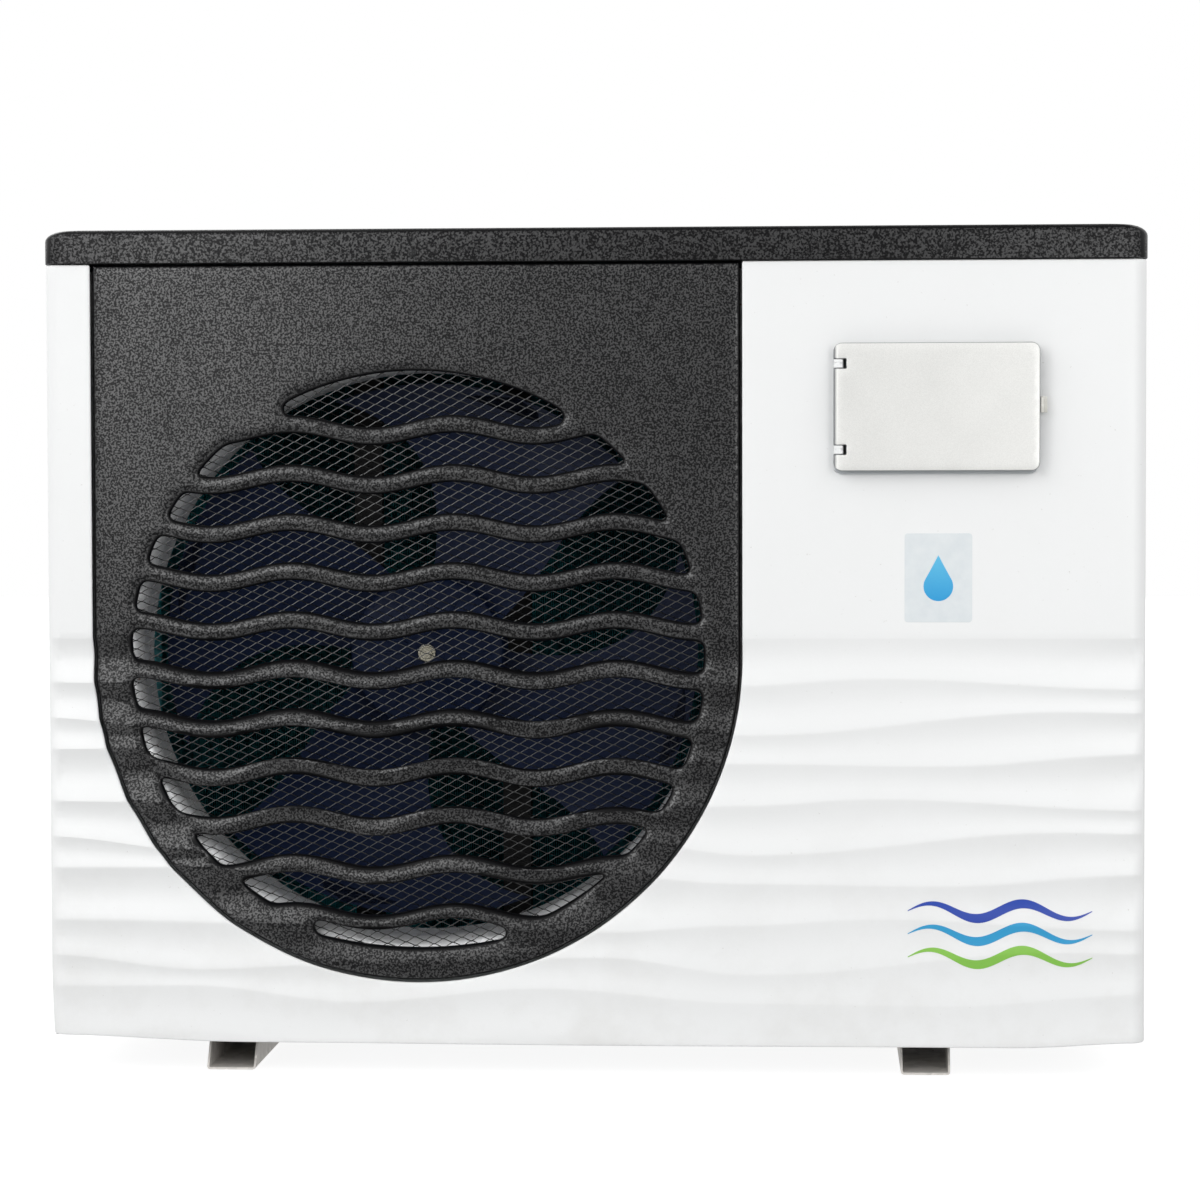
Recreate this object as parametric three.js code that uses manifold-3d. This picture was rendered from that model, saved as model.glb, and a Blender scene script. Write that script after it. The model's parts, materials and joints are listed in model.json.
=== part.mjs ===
// Pool heat pump, horizontal air discharge, as an assembly of separate pieces.
//
// Units are millimetres. The cabinet frame has X to the right of someone facing the unit,
// Y from the flat of the front panel (0) to the rear, and Z up from the ground.
// The exported group shifts that frame along Y, so that its box is centred on the origin.
import * as THREE from 'three';
import { mergeVertices } from 'three/addons/utils/BufferGeometryUtils.js';
import Module from 'manifold-3d';

const wasm = await Module();
wasm.setup();

// ---------------------------------------------------------------- driving dimensions

const GAP = 0.3; // clearance that neighbouring pieces keep
const SHEET = 1.5; // steel sheet of the inner plates
const SKIN = 3; // wall of the moulded outer panels

const CABINET = { width: 1047.8, depth: 440, height: 808.4, bottom: 36, sag: 7, corner: 14 };
const LID = { width: 1050, overhang: 2, skirt: 32.4, edge: 6, corner: 18 };
const FOOT = { width: 47.5, height: 34, front: 20, rake: 20, chamfer: 4, wall: 2, left: -351.3, right: 317.6 };
const PAN = { rim: 32, inset: 14 };
const RETURN = 38; // how far the front panel's sides reach back

// Front openings: a U-shaped recess for the grille panel, and its round field of wavy slots.
const GRILLE = { x: -168, z: 399.8, radius: 311.5, front: 1, thickness: 8 };
const FIELD = { x: -168, z: 398.5, radius: 275 };
const BARS = { count: 11, pitch: 46.75, top: 617, thickness: 17, wave: 155.5, swing: 6, crest: -287 };

// Relief of the lower front: groups of three ridges, each with a scooped trough under it.
const RELIEF = { first: 373, steps: [0, 34, 65], group: 114.5, groups: 3, start: 420, last: 45 };
const SCOOP = { depth: 0.2, skew: 0.8 }; // depth as a share of the gap between two ridges

const FAN = { x: -164, z: 401.5, front: 62, hub: 75, hubDepth: 52, tip: 262, blades: 4, skin: 3 };
const DUCT = { radius: 271.5, rear: 84, flange: 36 };
const MOTOR = { radius: 62, front: 138, length: 72, shaft: 6 };

const COIL = { left: -516, right: 128, front: 60, rear: 430, thickness: 38, bottom: 42, top: 768, bend: 78 };
const PARTITION = 149.5; // left face of the plate between the fan side and the machine side

const SHELL = { x: 255, y: 335, radius: 75, bottom: 62, top: 520 };
const WATER = { inlet: 130, outlet: 430, thread: 30, bore: 20, reach: 490, nut: 39 };
const COMPRESSOR = { x: 410, y: 250, radius: 62, bottom: 62, top: 372 };
const ACCUMULATOR = { x: 300, y: 190, radius: 37, bottom: 90, top: 330 };
const BOX = { left: 165, right: 488, front: 45, rear: 235, bottom: 600, top: 762 };

// Controller on the right of the front, under a door that is hinged at its left edge.
const DOOR = { left: 229.6, right: 423, bottom: 577, top: 697.5, front: -14.6, back: -5, corner: 8, wall: 2 };
const HINGE = { x: 234.4, y: -9.8, knuckle: 4.5, pin: 1.5, length: 8, heights: [597, 678] };
const PAD = { left: 231, right: 421.5, bottom: 574, top: 695, face: -4.4, floor: 6, rear: 26 };
const LATCH = { left: 423.6, right: 430, bottom: 631.5, top: 646.5, front: -13 };
const KEYS = { z: 603, pitch: 30, first: 268, radius: 6, names: ['power', 'mode', 'up', 'down'] };

const LID_UNDERSIDE = CABINET.height - LID.skirt;
const PANEL_TOP = LID_UNDERSIDE - 0.5;
const HALF = CABINET.width / 2;
const INNER = HALF - SKIN;
const REAR = CABINET.depth;

// ---------------------------------------------------------------- outlines

const radians = THREE.MathUtils.degToRad;

function arc(cx, cy, r, from, to, steps) {
  return Array.from({ length: steps + 1 }, (_, i) => {
    const angle = radians(from + ((to - from) * i) / steps);
    return [cx + r * Math.cos(angle), cy + r * Math.sin(angle)];
  });
}

const circle = (cx, cy, r, steps) => arc(cx, cy, r, 0, 360 - 360 / steps, steps - 1);

const rectangle = (x0, y0, x1, y1) => [[x0, y0], [x1, y0], [x1, y1], [x0, y1]];

function roundedRectangle(x0, y0, x1, y1, r, steps = 3) {
  return [
    ...arc(x1 - r, y0 + r, r, -90, 0, steps),
    ...arc(x1 - r, y1 - r, r, 0, 90, steps),
    ...arc(x0 + r, y1 - r, r, 90, 180, steps),
    ...arc(x0 + r, y0 + r, r, 180, 270, steps),
  ];
}

// ---------------------------------------------------------------- solids

// An outline drawn across an axis, pushed along it. Its plane is YZ for X, XZ for Y and XY for Z.
function prism(axis, outline, from, to) {
  const shape = new THREE.Shape(outline.map(([u, v]) => new THREE.Vector2(u, v)));
  const geometry = new THREE.ExtrudeGeometry(shape, { depth: to - from, bevelEnabled: false });
  if (axis === 'X') {
    const turn = new THREE.Matrix4().makeBasis(
      new THREE.Vector3(0, 1, 0),
      new THREE.Vector3(0, 0, 1),
      new THREE.Vector3(1, 0, 0),
    );
    return geometry.applyMatrix4(turn).translate(from, 0, 0);
  }
  if (axis === 'Y') return geometry.rotateX(Math.PI / 2).translate(0, to, 0);
  return geometry.translate(0, 0, from);
}

function box(x0, x1, y0, y1, z0, z1) {
  const geometry = new THREE.BoxGeometry(x1 - x0, y1 - y0, z1 - z0);
  return geometry.translate((x0 + x1) / 2, (y0 + y1) / 2, (z0 + z1) / 2);
}

// A closed profile of [radius, height] points, turned about an axis through (cx, cy).
function turned(axis, profile, cx, cy, steps = 16) {
  let points = profile.map(([r, h]) => new THREE.Vector2(r, h));
  if (!THREE.ShapeUtils.isClockWise(points)) points = points.reverse();
  points.push(points[0].clone());
  const geometry = new THREE.LatheGeometry(points.reverse(), steps);
  if (axis === 'Y') return geometry.translate(cx, 0, cy);
  return geometry.rotateX(Math.PI / 2).translate(cx, cy, 0);
}

// A round bar or pipe that follows a curve through its points.
function pipe(points, radius, steps, sides = 6) {
  const path = new THREE.CatmullRomCurve3(points.map((p) => new THREE.Vector3(...p)), false, 'centripetal');
  const section = new THREE.Shape(circle(0, 0, radius, sides).map(([u, v]) => new THREE.Vector2(u, v)));
  return new THREE.ExtrudeGeometry(section, { steps, extrudePath: path, bevelEnabled: false });
}

function solid(geometry) {
  if (geometry instanceof wasm.Manifold) return geometry;
  const plain = geometry.clone();
  plain.deleteAttribute('normal');
  plain.deleteAttribute('uv');
  const merged = mergeVertices(plain, 1e-4);
  return new wasm.Manifold(
    new wasm.Mesh({
      numProp: 3,
      vertProperties: new Float32Array(merged.attributes.position.array),
      triVerts: new Uint32Array(merged.index.array),
    }),
  );
}

const join = (...pieces) => pieces.map(solid).reduce((whole, piece) => whole.add(piece));
const cut = (body, ...tools) => tools.map(solid).reduce((whole, tool) => whole.subtract(tool), solid(body));
const common = (...pieces) => pieces.map(solid).reduce((whole, piece) => whole.intersect(piece));

function geometryOf(manifold) {
  const { numProp, vertProperties, triVerts } = manifold.getMesh();
  const positions = new Float32Array((vertProperties.length / numProp) * 3);
  for (let i = 0; i < positions.length / 3; i++) {
    positions.set(vertProperties.subarray(i * numProp, i * numProp + 3), i * 3);
  }
  const geometry = new THREE.BufferGeometry();
  geometry.setAttribute('position', new THREE.BufferAttribute(positions, 3));
  geometry.setIndex(new THREE.BufferAttribute(triVerts, 1));
  geometry.computeVertexNormals();
  return geometry;
}

// ---------------------------------------------------------------- materials

const finish = (color, roughness, metalness = 0) => ({ color, roughness, metalness });

const WHITE_ABS = finish(0xf2f3f3, 0.4);
const DARK_ABS = finish(0x3b3c3e, 0.6);
const SILVER_ABS = finish(0xd9dad8, 0.38);
const CONTROL_GREY = finish(0xaeb2b5, 0.45);
const CLEAR_PLASTIC = finish(0xf4f2ea, 0.3);
const DISPLAY_GLASS = finish(0x0c1016, 0.1);
const KEY_RUBBER = finish(0x4b5157, 0.6);
const BLACK_MESH = finish(0x17181a, 0.45, 0.3);
const GALVANISED = finish(0xb4b7b8, 0.4, 0.9);
const ZINC = finish(0xc9c9c2, 0.3, 1);
const STEEL = finish(0x8d9093, 0.3, 1);
const FAN_PLASTIC = finish(0x1b2438, 0.45);
const MOTOR_PAINT = finish(0x24272b, 0.5, 0.3);
const BLUE_FINS = finish(0x2f8f96, 0.45, 0.6);
const BLACK_PAINT = finish(0x121315, 0.45, 0.2);
const RUBBER = finish(0x1b1b1b, 0.85);
const BLACK_PVC = finish(0x1d1f22, 0.5);
const TITANIUM = finish(0x9c9690, 0.35, 1);
const COPPER = finish(0xb6683d, 0.3, 1);
const BRASS = finish(0xc0a04f, 0.3, 1);
const BOARD_GREEN = finish(0x1d6a3c, 0.5);
const ALUMINIUM = finish(0xc2c5c8, 0.35, 1);
const TERMINAL = finish(0xe6e2d3, 0.55);

const cabinet = new THREE.Group();

function add(name, shape, look) {
  const geometry = shape instanceof wasm.Manifold ? geometryOf(shape) : shape;
  const mesh = new THREE.Mesh(geometry, new THREE.MeshStandardMaterial(look));
  mesh.name = name;
  cabinet.add(mesh);
}

// ---------------------------------------------------------------- outer casing

// Heights of the relief's ridges, from the top one down.
function ridgeHeights() {
  const heights = [];
  for (let group = 0; group < RELIEF.groups; group++) {
    for (const step of RELIEF.steps) heights.push(RELIEF.first - group * RELIEF.group - step);
  }
  return heights;
}

// The front face seen from the side, as [y, z] points from the top down.
function reliefProfile(offset) {
  const samples = [0.15, 0.45, 0.75];
  const ridges = [RELIEF.start, ...ridgeHeights()];
  const points = [[offset, CABINET.height]];
  for (let i = 0; i < ridges.length; i++) {
    const top = ridges[i];
    const gap = top - (ridges[i + 1] ?? top - RELIEF.last);
    points.push([offset, top]);
    for (const t of samples) {
      const scoop = SCOOP.depth * gap * Math.sin(Math.PI * t ** SCOOP.skew);
      points.push([offset + scoop, top - t * gap]);
    }
  }
  points.push([offset + 1, 0]);
  return points;
}

const reliefBlock = (offset) =>
  prism('X', [...reliefProfile(offset), [RETURN, 0], [RETURN, CABINET.height]], -HALF - 1, HALF + 1);

function addFrontPanel() {
  const plan = (inset, y0, y1) =>
    roundedRectangle(-HALF + inset, y0, HALF - inset, y1, CABINET.corner - inset);
  const silhouette = [
    [HALF, PANEL_TOP],
    [-HALF, PANEL_TOP],
    ...Array.from({ length: 13 }, (_, i) => {
      const across = i / 6 - 1;
      return [across * HALF, CABINET.bottom - CABINET.sag * (1 - across * across)];
    }),
  ];
  const recess = [
    ...arc(GRILLE.x, GRILLE.z, GRILLE.radius, 180, 360, 36),
    [GRILLE.x + GRILLE.radius, CABINET.height],
    [GRILLE.x - GRILLE.radius, CABINET.height],
  ];
  const outer = common(
    reliefBlock(0),
    prism('Z', plan(0, 0, RETURN + 40), 0, CABINET.height),
    prism('Y', silhouette, -1, RETURN),
  );
  const inner = common(reliefBlock(SKIN), prism('Z', plan(SKIN, SKIN, RETURN + 40), -1, CABINET.height));
  const controllerHole = rectangle(PAD.left + 2 - GAP, PAD.bottom + 2 - GAP, PAD.right - 2 + GAP, PAD.top - 2 + GAP);
  const panel = cut(
    outer,
    inner,
    prism('Y', recess, -5, RETURN + 5),
    prism('Y', controllerHole, -5, RETURN + 5),
  );
  add('front_panel', panel, WHITE_ABS);
}

// One bar of the grille: a strip that waves up and down across the round field.
function barOutline(index) {
  const steps = 24;
  const reach = FIELD.radius + 4;
  const middle = (x) =>
    BARS.top - index * BARS.pitch + BARS.swing * Math.cos((2 * Math.PI * (x - BARS.crest)) / BARS.wave);
  const along = Array.from({ length: steps + 1 }, (_, i) => FIELD.x - reach + (2 * reach * i) / steps);
  return [
    ...along.map((x) => [x, middle(x) - BARS.thickness / 2]),
    ...along.reverse().map((x) => [x, middle(x) + BARS.thickness / 2]),
  ];
}

function addGrillePanel() {
  const gap = 2;
  const radius = GRILLE.radius - gap;
  const outline = [
    ...arc(GRILLE.x, GRILLE.z, radius, 180, 360, 36),
    [GRILLE.x + radius, PANEL_TOP],
    [GRILLE.x - radius, PANEL_TOP],
  ];
  const back = GRILLE.front + GRILLE.thickness;
  const plate = prism('Y', outline, GRILLE.front, back);
  const field = prism('Y', circle(FIELD.x, FIELD.z, FIELD.radius, 44), GRILLE.front - 1, back + 1);
  let slots = solid(field);
  for (let i = 0; i < BARS.count; i++) {
    slots = cut(slots, prism('Y', barOutline(i), GRILLE.front - 2, back + 2));
  }
  add('grille_panel', cut(plate, slots), DARK_ABS);
}

// Finger guard: a flat disc that stands for a sheet of expanded metal behind the slots.
function addGuardMesh() {
  add('guard_mesh', prism('Y', circle(FIELD.x, FIELD.z, 292, 32), 16, 17.2), BLACK_MESH);
}

function addLid() {
  const { width, overhang, edge, corner } = LID;
  const x = width / 2;
  const y0 = -overhang;
  const y1 = REAR + overhang;
  const outline = roundedRectangle(-x + edge, y0 + edge, x - edge, y1 - edge, corner - edge);
  const blank = new THREE.ExtrudeGeometry(new THREE.Shape(outline.map((p) => new THREE.Vector2(...p))), {
    depth: LID.skirt,
    bevelThickness: edge,
    bevelSize: edge,
    bevelSegments: 3,
  });
  blank.translate(0, 0, LID_UNDERSIDE - edge);
  const trimmed = common(blank, box(-x - 1, x + 1, y0 - 1, y1 + 1, LID_UNDERSIDE, CABINET.height));
  const hollow = roundedRectangle(-x + SKIN, y0 + SKIN, x - SKIN, y1 - SKIN, corner - SKIN);
  const lid = cut(
    trimmed,
    prism('Z', hollow, LID_UNDERSIDE - 1, CABINET.height - SKIN),
    ...LID_SCREWS.map(({ x: sx, z }) => prism('Y', circle(sx, z, 2.4, 10), -5, 5)),
  );
  add('top_lid', lid, DARK_ABS);
}

const LID_SCREWS = [
  { name: 'lid_screw_left', x: -168.7, z: 784.7 },
  { name: 'lid_screw_right', x: 336.1, z: 787.9 },
];

function addLidScrews() {
  const head = LID.overhang + GAP;
  for (const { name, x, z } of LID_SCREWS) {
    const profile = [[0, -head - 1.6], [2.6, -head - 1.4], [3.9, -head], [2, -head], [2, 8], [0, 8.6]];
    add(name, turned('Y', profile, x, z, 12), BLACK_PAINT);
  }
}

// Left side: the coil breathes through rows of slots, two columns wide.
function addLeftPanel() {
  const slots = [];
  const rows = 14;
  for (let row = 0; row < rows; row++) {
    for (const [y0, y1] of [[80, 230], [244, 394]]) {
      const z = 90 + row * 46;
      slots.push(box(-HALF - 1, -INNER + 1, y0, y1, z, z + 34));
    }
  }
  const blank = join(
    box(-HALF, -INNER, RETURN + GAP, REAR, CABINET.bottom, PANEL_TOP),
    box(-HALF, -500, REAR - SKIN, REAR, CABINET.bottom, PANEL_TOP),
  );
  add('side_panel_left', cut(blank, ...slots), WHITE_ABS);
}

// Right side: a plain service panel with a moulded pocket to lift the unit by.
function addRightPanel() {
  const pocket = { y0: 180, y1: 300, z0: 690, z1: 735, depth: 24 };
  const blank = join(
    box(INNER, HALF, RETURN + GAP, REAR, CABINET.bottom, PANEL_TOP),
    box(500, HALF, REAR - SKIN, REAR, CABINET.bottom, PANEL_TOP),
    box(HALF - pocket.depth, HALF, pocket.y0, pocket.y1, pocket.z0, pocket.z1),
  );
  const hollow = box(
    HALF - pocket.depth + SKIN,
    HALF + 1,
    pocket.y0 + SKIN,
    pocket.y1 - SKIN,
    pocket.z0 + SKIN,
    pocket.z1 - SKIN,
  );
  add('side_panel_right', cut(blank, hollow), WHITE_ABS);
}

function addRearPanel() {
  const left = 141;
  const right = 500 - GAP;
  const plate = box(left, right, REAR - 2, REAR, CABINET.bottom, PANEL_TOP);
  const ports = [WATER.inlet, WATER.outlet].map((z) => prism('Y', circle(SHELL.x, z, 34, 24), REAR - 5, REAR + 5));
  const gland = prism('Y', circle(GLAND.x, GLAND.z, 9, 16), REAR - 5, REAR + 5);
  add('rear_panel', cut(plate, ...ports, gland), GALVANISED);
}

// Rear grille: a frame and a field of rods in front of the coil.
function addRearGuard() {
  const left = -500 + GAP;
  const right = 141 - GAP;
  const frame = 22;
  const columns = 3;
  const rows = 10;
  const rod = 5;
  const width = (right - left - 2 * frame - (columns - 1) * rod) / columns;
  const height = (PANEL_TOP - CABINET.bottom - 2 * frame - (rows - 1) * rod) / rows;
  const windows = [];
  for (let column = 0; column < columns; column++) {
    for (let row = 0; row < rows; row++) {
      const x = left + frame + column * (width + rod);
      const z = CABINET.bottom + frame + row * (height + rod);
      windows.push(box(x, x + width, REAR - 8, REAR + 1, z, z + height));
    }
  }
  const plate = box(left, right, REAR - 5, REAR - 1, CABINET.bottom, PANEL_TOP);
  add('rear_guard', cut(plate, ...windows), WHITE_ABS);
}

// ---------------------------------------------------------------- base and frame

const DRAIN = { x: -100, y: 300, hole: 10 };

function addFeet() {
  const { width, height, front, rake, chamfer, wall } = FOOT;
  const rear = REAR - front;
  const shoulder = height - chamfer;
  const lean = (rake * shoulder) / height;
  for (const [name, x] of [['foot_left', FOOT.left], ['foot_right', FOOT.right]]) {
    const side = [
      [front, 0],
      [rear, 0],
      [rear - lean, shoulder],
      [rear - rake - chamfer, height],
      [front + rake + chamfer, height],
      [front + lean, shoulder],
    ];
    const blank = prism('X', side, x - width / 2, x + width / 2);
    const trough = box(x - width / 2 + wall, x + width / 2 - wall, 0, REAR, wall, height + 5);
    const slots = [front + 30, rear - 30].map((y) =>
      prism('Z', roundedRectangle(x - 5.5, y - 12, x + 5.5, y + 12, 5.4, 4), -1, wall + 1),
    );
    add(name, cut(blank, trough, ...slots), GALVANISED);
  }
}

function addBasePan() {
  const bottom = FOOT.height + GAP;
  const x = INNER - GAP;
  const tray = cut(
    box(-x, x, PAN.inset, REAR - 6, bottom, bottom + PAN.rim),
    box(-x + SHEET, x - SHEET, PAN.inset + SHEET, REAR - 6 - SHEET, bottom + SHEET, bottom + PAN.rim + 5),
    prism('Z', circle(DRAIN.x, DRAIN.y, DRAIN.hole, 16), bottom - 5, bottom + 5),
  );
  add('base_pan', tray, GALVANISED);
}

const PAN_FLOOR = FOOT.height + GAP + SHEET + GAP; // where pieces that stand in the pan start

function addDrainSpigot() {
  const profile = [
    [6.5, 6],
    [8, 6],
    [9.5, 14],
    [9.5, PAN_FLOOR],
    [16, PAN_FLOOR],
    [16, PAN_FLOOR + 2],
    [6.5, PAN_FLOOR + 2],
  ];
  add('drain_spigot', turned('Z', profile, DRAIN.x, DRAIN.y, 12), RUBBER);
}

function addBulkhead() {
  const plate = box(-514, PARTITION - 1, 24, 24 + SHEET, 62, 770);
  const hole = prism('Y', circle(FAN.x, FAN.z, DUCT.radius + 19, 32), 20, 30);
  add('front_bulkhead', cut(plate, hole), GALVANISED);
}

function addPartition() {
  const plate = box(PARTITION, PARTITION + SHEET, 30, REAR - 10, PAN_FLOOR, 772);
  add('partition_plate', plate, GALVANISED);
}

// ---------------------------------------------------------------- fan side

// Bell-mouthed ring: a flange in front of the bulkhead that rolls back into a duct.
function addShroud() {
  const wall = 1.2;
  const bend = 16;
  const front = 22.3;
  const mouth = (offset) =>
    Array.from({ length: 4 }, (_, i) => {
      const angle = (Math.PI / 2) * (i / 3);
      const r = bend - offset;
      return [DUCT.radius + bend - r * Math.sin(Math.PI / 2 - angle), front + bend - r * Math.sin(angle)];
    });
  const inner = mouth(0);
  const outer = mouth(wall);
  const profile = [
    [DUCT.radius, DUCT.rear],
    ...inner,
    [DUCT.radius + DUCT.flange, front],
    [DUCT.radius + DUCT.flange, front + wall],
    ...outer.reverse(),
    [DUCT.radius + wall, DUCT.rear],
  ];
  add('fan_shroud', turned('Y', profile, FAN.x, FAN.z, 32), GALVANISED);
}

const bladeLead = (r) => 87.5 + 20 * ((r - 115) / 135) ** 2; // angle of the leading edge, degrees
const bladeTrail = (r) => 42 - 19 * ((225 - r) / 150) ** 2; // angle of the trailing edge, degrees

// A swept blade: a thin slab whose points are laid out by radius and by place along the chord.
function blade(turn) {
  const root = FAN.hub - 2.5;
  const slab = new THREE.BoxGeometry(1, 1, 1, 4, 1, 4);
  const position = slab.attributes.position;
  for (let i = 0; i < position.count; i++) {
    const r = root + (FAN.tip - root) * (position.getX(i) + 0.5);
    const chord = position.getZ(i) + 0.5;
    const side = position.getY(i);
    const angle = radians(bladeTrail(r) + (bladeLead(r) - bladeTrail(r)) * chord + turn);
    const camber = 7 * Math.sin(Math.PI * chord);
    const y = FAN.front + 8 + 44 * chord + camber + side * FAN.skin;
    position.setXYZ(i, FAN.x + r * Math.cos(angle), y, FAN.z + r * Math.sin(angle));
  }
  return slab;
}

function outwardFacing(geometry) {
  const body = solid(geometry);
  if (body.volume() > 0) return body;
  const index = geometry.index.array;
  for (let i = 0; i < index.length; i += 3) [index[i + 1], index[i + 2]] = [index[i + 2], index[i + 1]];
  return solid(geometry);
}

function addFanRotor() {
  const { front, hub, hubDepth, skin } = FAN;
  const bore = MOTOR.shaft + GAP;
  const profile = [
    [3.4, front],
    [hub - 8, front],
    [hub - 2, front + 2.5],
    [hub, front + 8],
    [hub, front + hubDepth],
    [hub - skin, front + hubDepth],
    [hub - skin, front + skin + 4],
    [18, front + skin],
    [14, front + hubDepth - 6],
    [bore, front + hubDepth - 6],
    [bore, front + skin],
    [3.4, front + skin],
  ];
  const blades = Array.from({ length: FAN.blades }, (_, i) => outwardFacing(blade((-360 * i) / FAN.blades)));
  add('fan_rotor', join(turned('Y', profile, FAN.x, FAN.z, 24), ...blades), FAN_PLASTIC);
}

function addFanShaft() {
  const start = FAN.front + FAN.skin + GAP;
  const end = MOTOR.front + 40;
  const profile = [[0, start + 16], [3.3, start + 16], [3.3, start], [MOTOR.shaft, start], [MOTOR.shaft, end], [0, end]];
  add('fan_shaft', turned('Y', profile, FAN.x, FAN.z, 14), STEEL);
}

function addHubScrew() {
  const head = FAN.front - GAP;
  const profile = [[0, head - 5], [5, head - 5], [6.5, head - 3.6], [6.5, head - 1.4], [8.5, head - 1.4], [8.5, head],
    [3, head], [3, head + 15], [0, head + 15]];
  add('hub_screw', turned('Y', profile, FAN.x, FAN.z, 12), ZINC);
}

function addMotor() {
  const { radius, front, length, shaft } = MOTOR;
  const rear = front + length;
  const bore = shaft + 0.4;
  const profile = [
    [0, front + 44],
    [bore, front + 44],
    [bore, front],
    [22, front],
    [24, front + 10],
    [radius - 6, front + 12],
    [radius, front + 18],
    [radius, rear - 6],
    [radius - 6, rear],
    [0, rear],
  ];
  add('fan_motor', turned('Y', profile, FAN.x, FAN.z, 20), MOTOR_PAINT);
}

function addMotorBracket() {
  const front = MOTOR.front + MOTOR.length + GAP;
  const rails = [-75, 75].map((dx) =>
    box(FAN.x + dx - 14, FAN.x + dx + 14, front, front + 18, PAN_FLOOR, 772));
  const bars = [-42, 42].map((dz) =>
    box(FAN.x - 75, FAN.x + 75, front, front + SHEET, FAN.z + dz - 11, FAN.z + dz + 11));
  const hollows = [-75, 75].map((dx) =>
    box(FAN.x + dx - 12.5, FAN.x + dx + 12.5, front + SHEET, front + 20, PAN_FLOOR - 1, 773));
  add('motor_bracket', cut(join(...rails, ...bars), ...hollows), MOTOR_PAINT);
}

// ---------------------------------------------------------------- coil

// Plan of the L: a leg along the left side and one across the rear, joined by a bend.
function coilOutline() {
  const { left, right, front, rear, thickness, bend } = COIL;
  const inside = bend - thickness;
  const cx = left + bend;
  const cy = rear - bend;
  return [
    [left, front],
    [left + thickness, front],
    ...arc(cx, cy, inside, 180, 90, 5),
    [right, rear - thickness],
    [right, rear],
    ...arc(cx, cy, bend, 90, 180, 7),
  ];
}

function addCoil() {
  const { left, right, front, rear, thickness, bottom, top } = COIL;
  add('evaporator_coil', prism('Z', coilOutline(), bottom, top), BLUE_FINS);
  const frontPlate = box(left - 1, left + thickness + 1, front - GAP - SHEET, front - GAP, bottom, top);
  const rearPlate = box(right + GAP, right + GAP + SHEET, rear - thickness - 1, rear + 1, bottom, top);
  add('coil_end_plate_left', frontPlate, GALVANISED);
  add('coil_end_plate_right', rearPlate, GALVANISED);
}

// ---------------------------------------------------------------- refrigerant side

// A closed pressure vessel with domed ends.
const vessel = (radius, bottom, top, dome) => [
  [0, bottom],
  [radius * 0.6, bottom + dome * 0.15],
  [radius * 0.9, bottom + dome * 0.55],
  [radius, bottom + dome],
  [radius, top - dome],
  [radius * 0.9, top - dome * 0.55],
  [radius * 0.6, top - dome * 0.15],
  [0, top],
];

function addCompressor() {
  const { x, y, radius, bottom, top } = COMPRESSOR;
  const spread = radius + 20;
  const feet = [90, 210, 330].map((angle) => {
    const fx = x + spread * Math.cos(radians(angle));
    const fy = y + spread * Math.sin(radians(angle));
    return { fx, fy, lug: prism('Z', circle(fx, fy, 18, 10), bottom, bottom + 3) };
  });
  const plate = prism('Z', circle(x, y, radius + 10, 18), bottom, bottom + 3);
  const body = turned('Z', vessel(radius, bottom, top, 26), x, y, 20);
  add('compressor', join(body, plate, ...feet.map((foot) => foot.lug)), BLACK_PAINT);
  feet.forEach(({ fx, fy }, i) => {
    const profile = [
      [0, PAN_FLOOR],
      [16, PAN_FLOOR],
      [13, PAN_FLOOR + 10],
      [13, bottom - 8],
      [15, bottom - GAP],
      [0, bottom - GAP],
    ];
    add(`compressor_grommet_${i + 1}`, turned('Z', profile, fx, fy, 10), RUBBER);
  });
}

function addAccumulator() {
  const { x, y, radius, bottom, top } = ACCUMULATOR;
  add('accumulator', turned('Z', vessel(radius, bottom, top, 18), x, y, 16), BLACK_PAINT);
}

const VALVE = { x: 395, y: 250, z: 470, radius: 15, length: 92 };

function addFourWayValve() {
  const { x, y, z, radius, length } = VALVE;
  const barrel = prism('X', circle(y, z, radius, 12), x - length / 2, x + length / 2);
  const pilot = prism('X', circle(y - 24, z + 8, 7, 8), x - 22, x + 22);
  const bridge = box(x - 6, x + 6, y - 24, y, z, z + 6);
  add('four_way_valve', join(barrel, pilot, bridge), BRASS);
}

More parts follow.
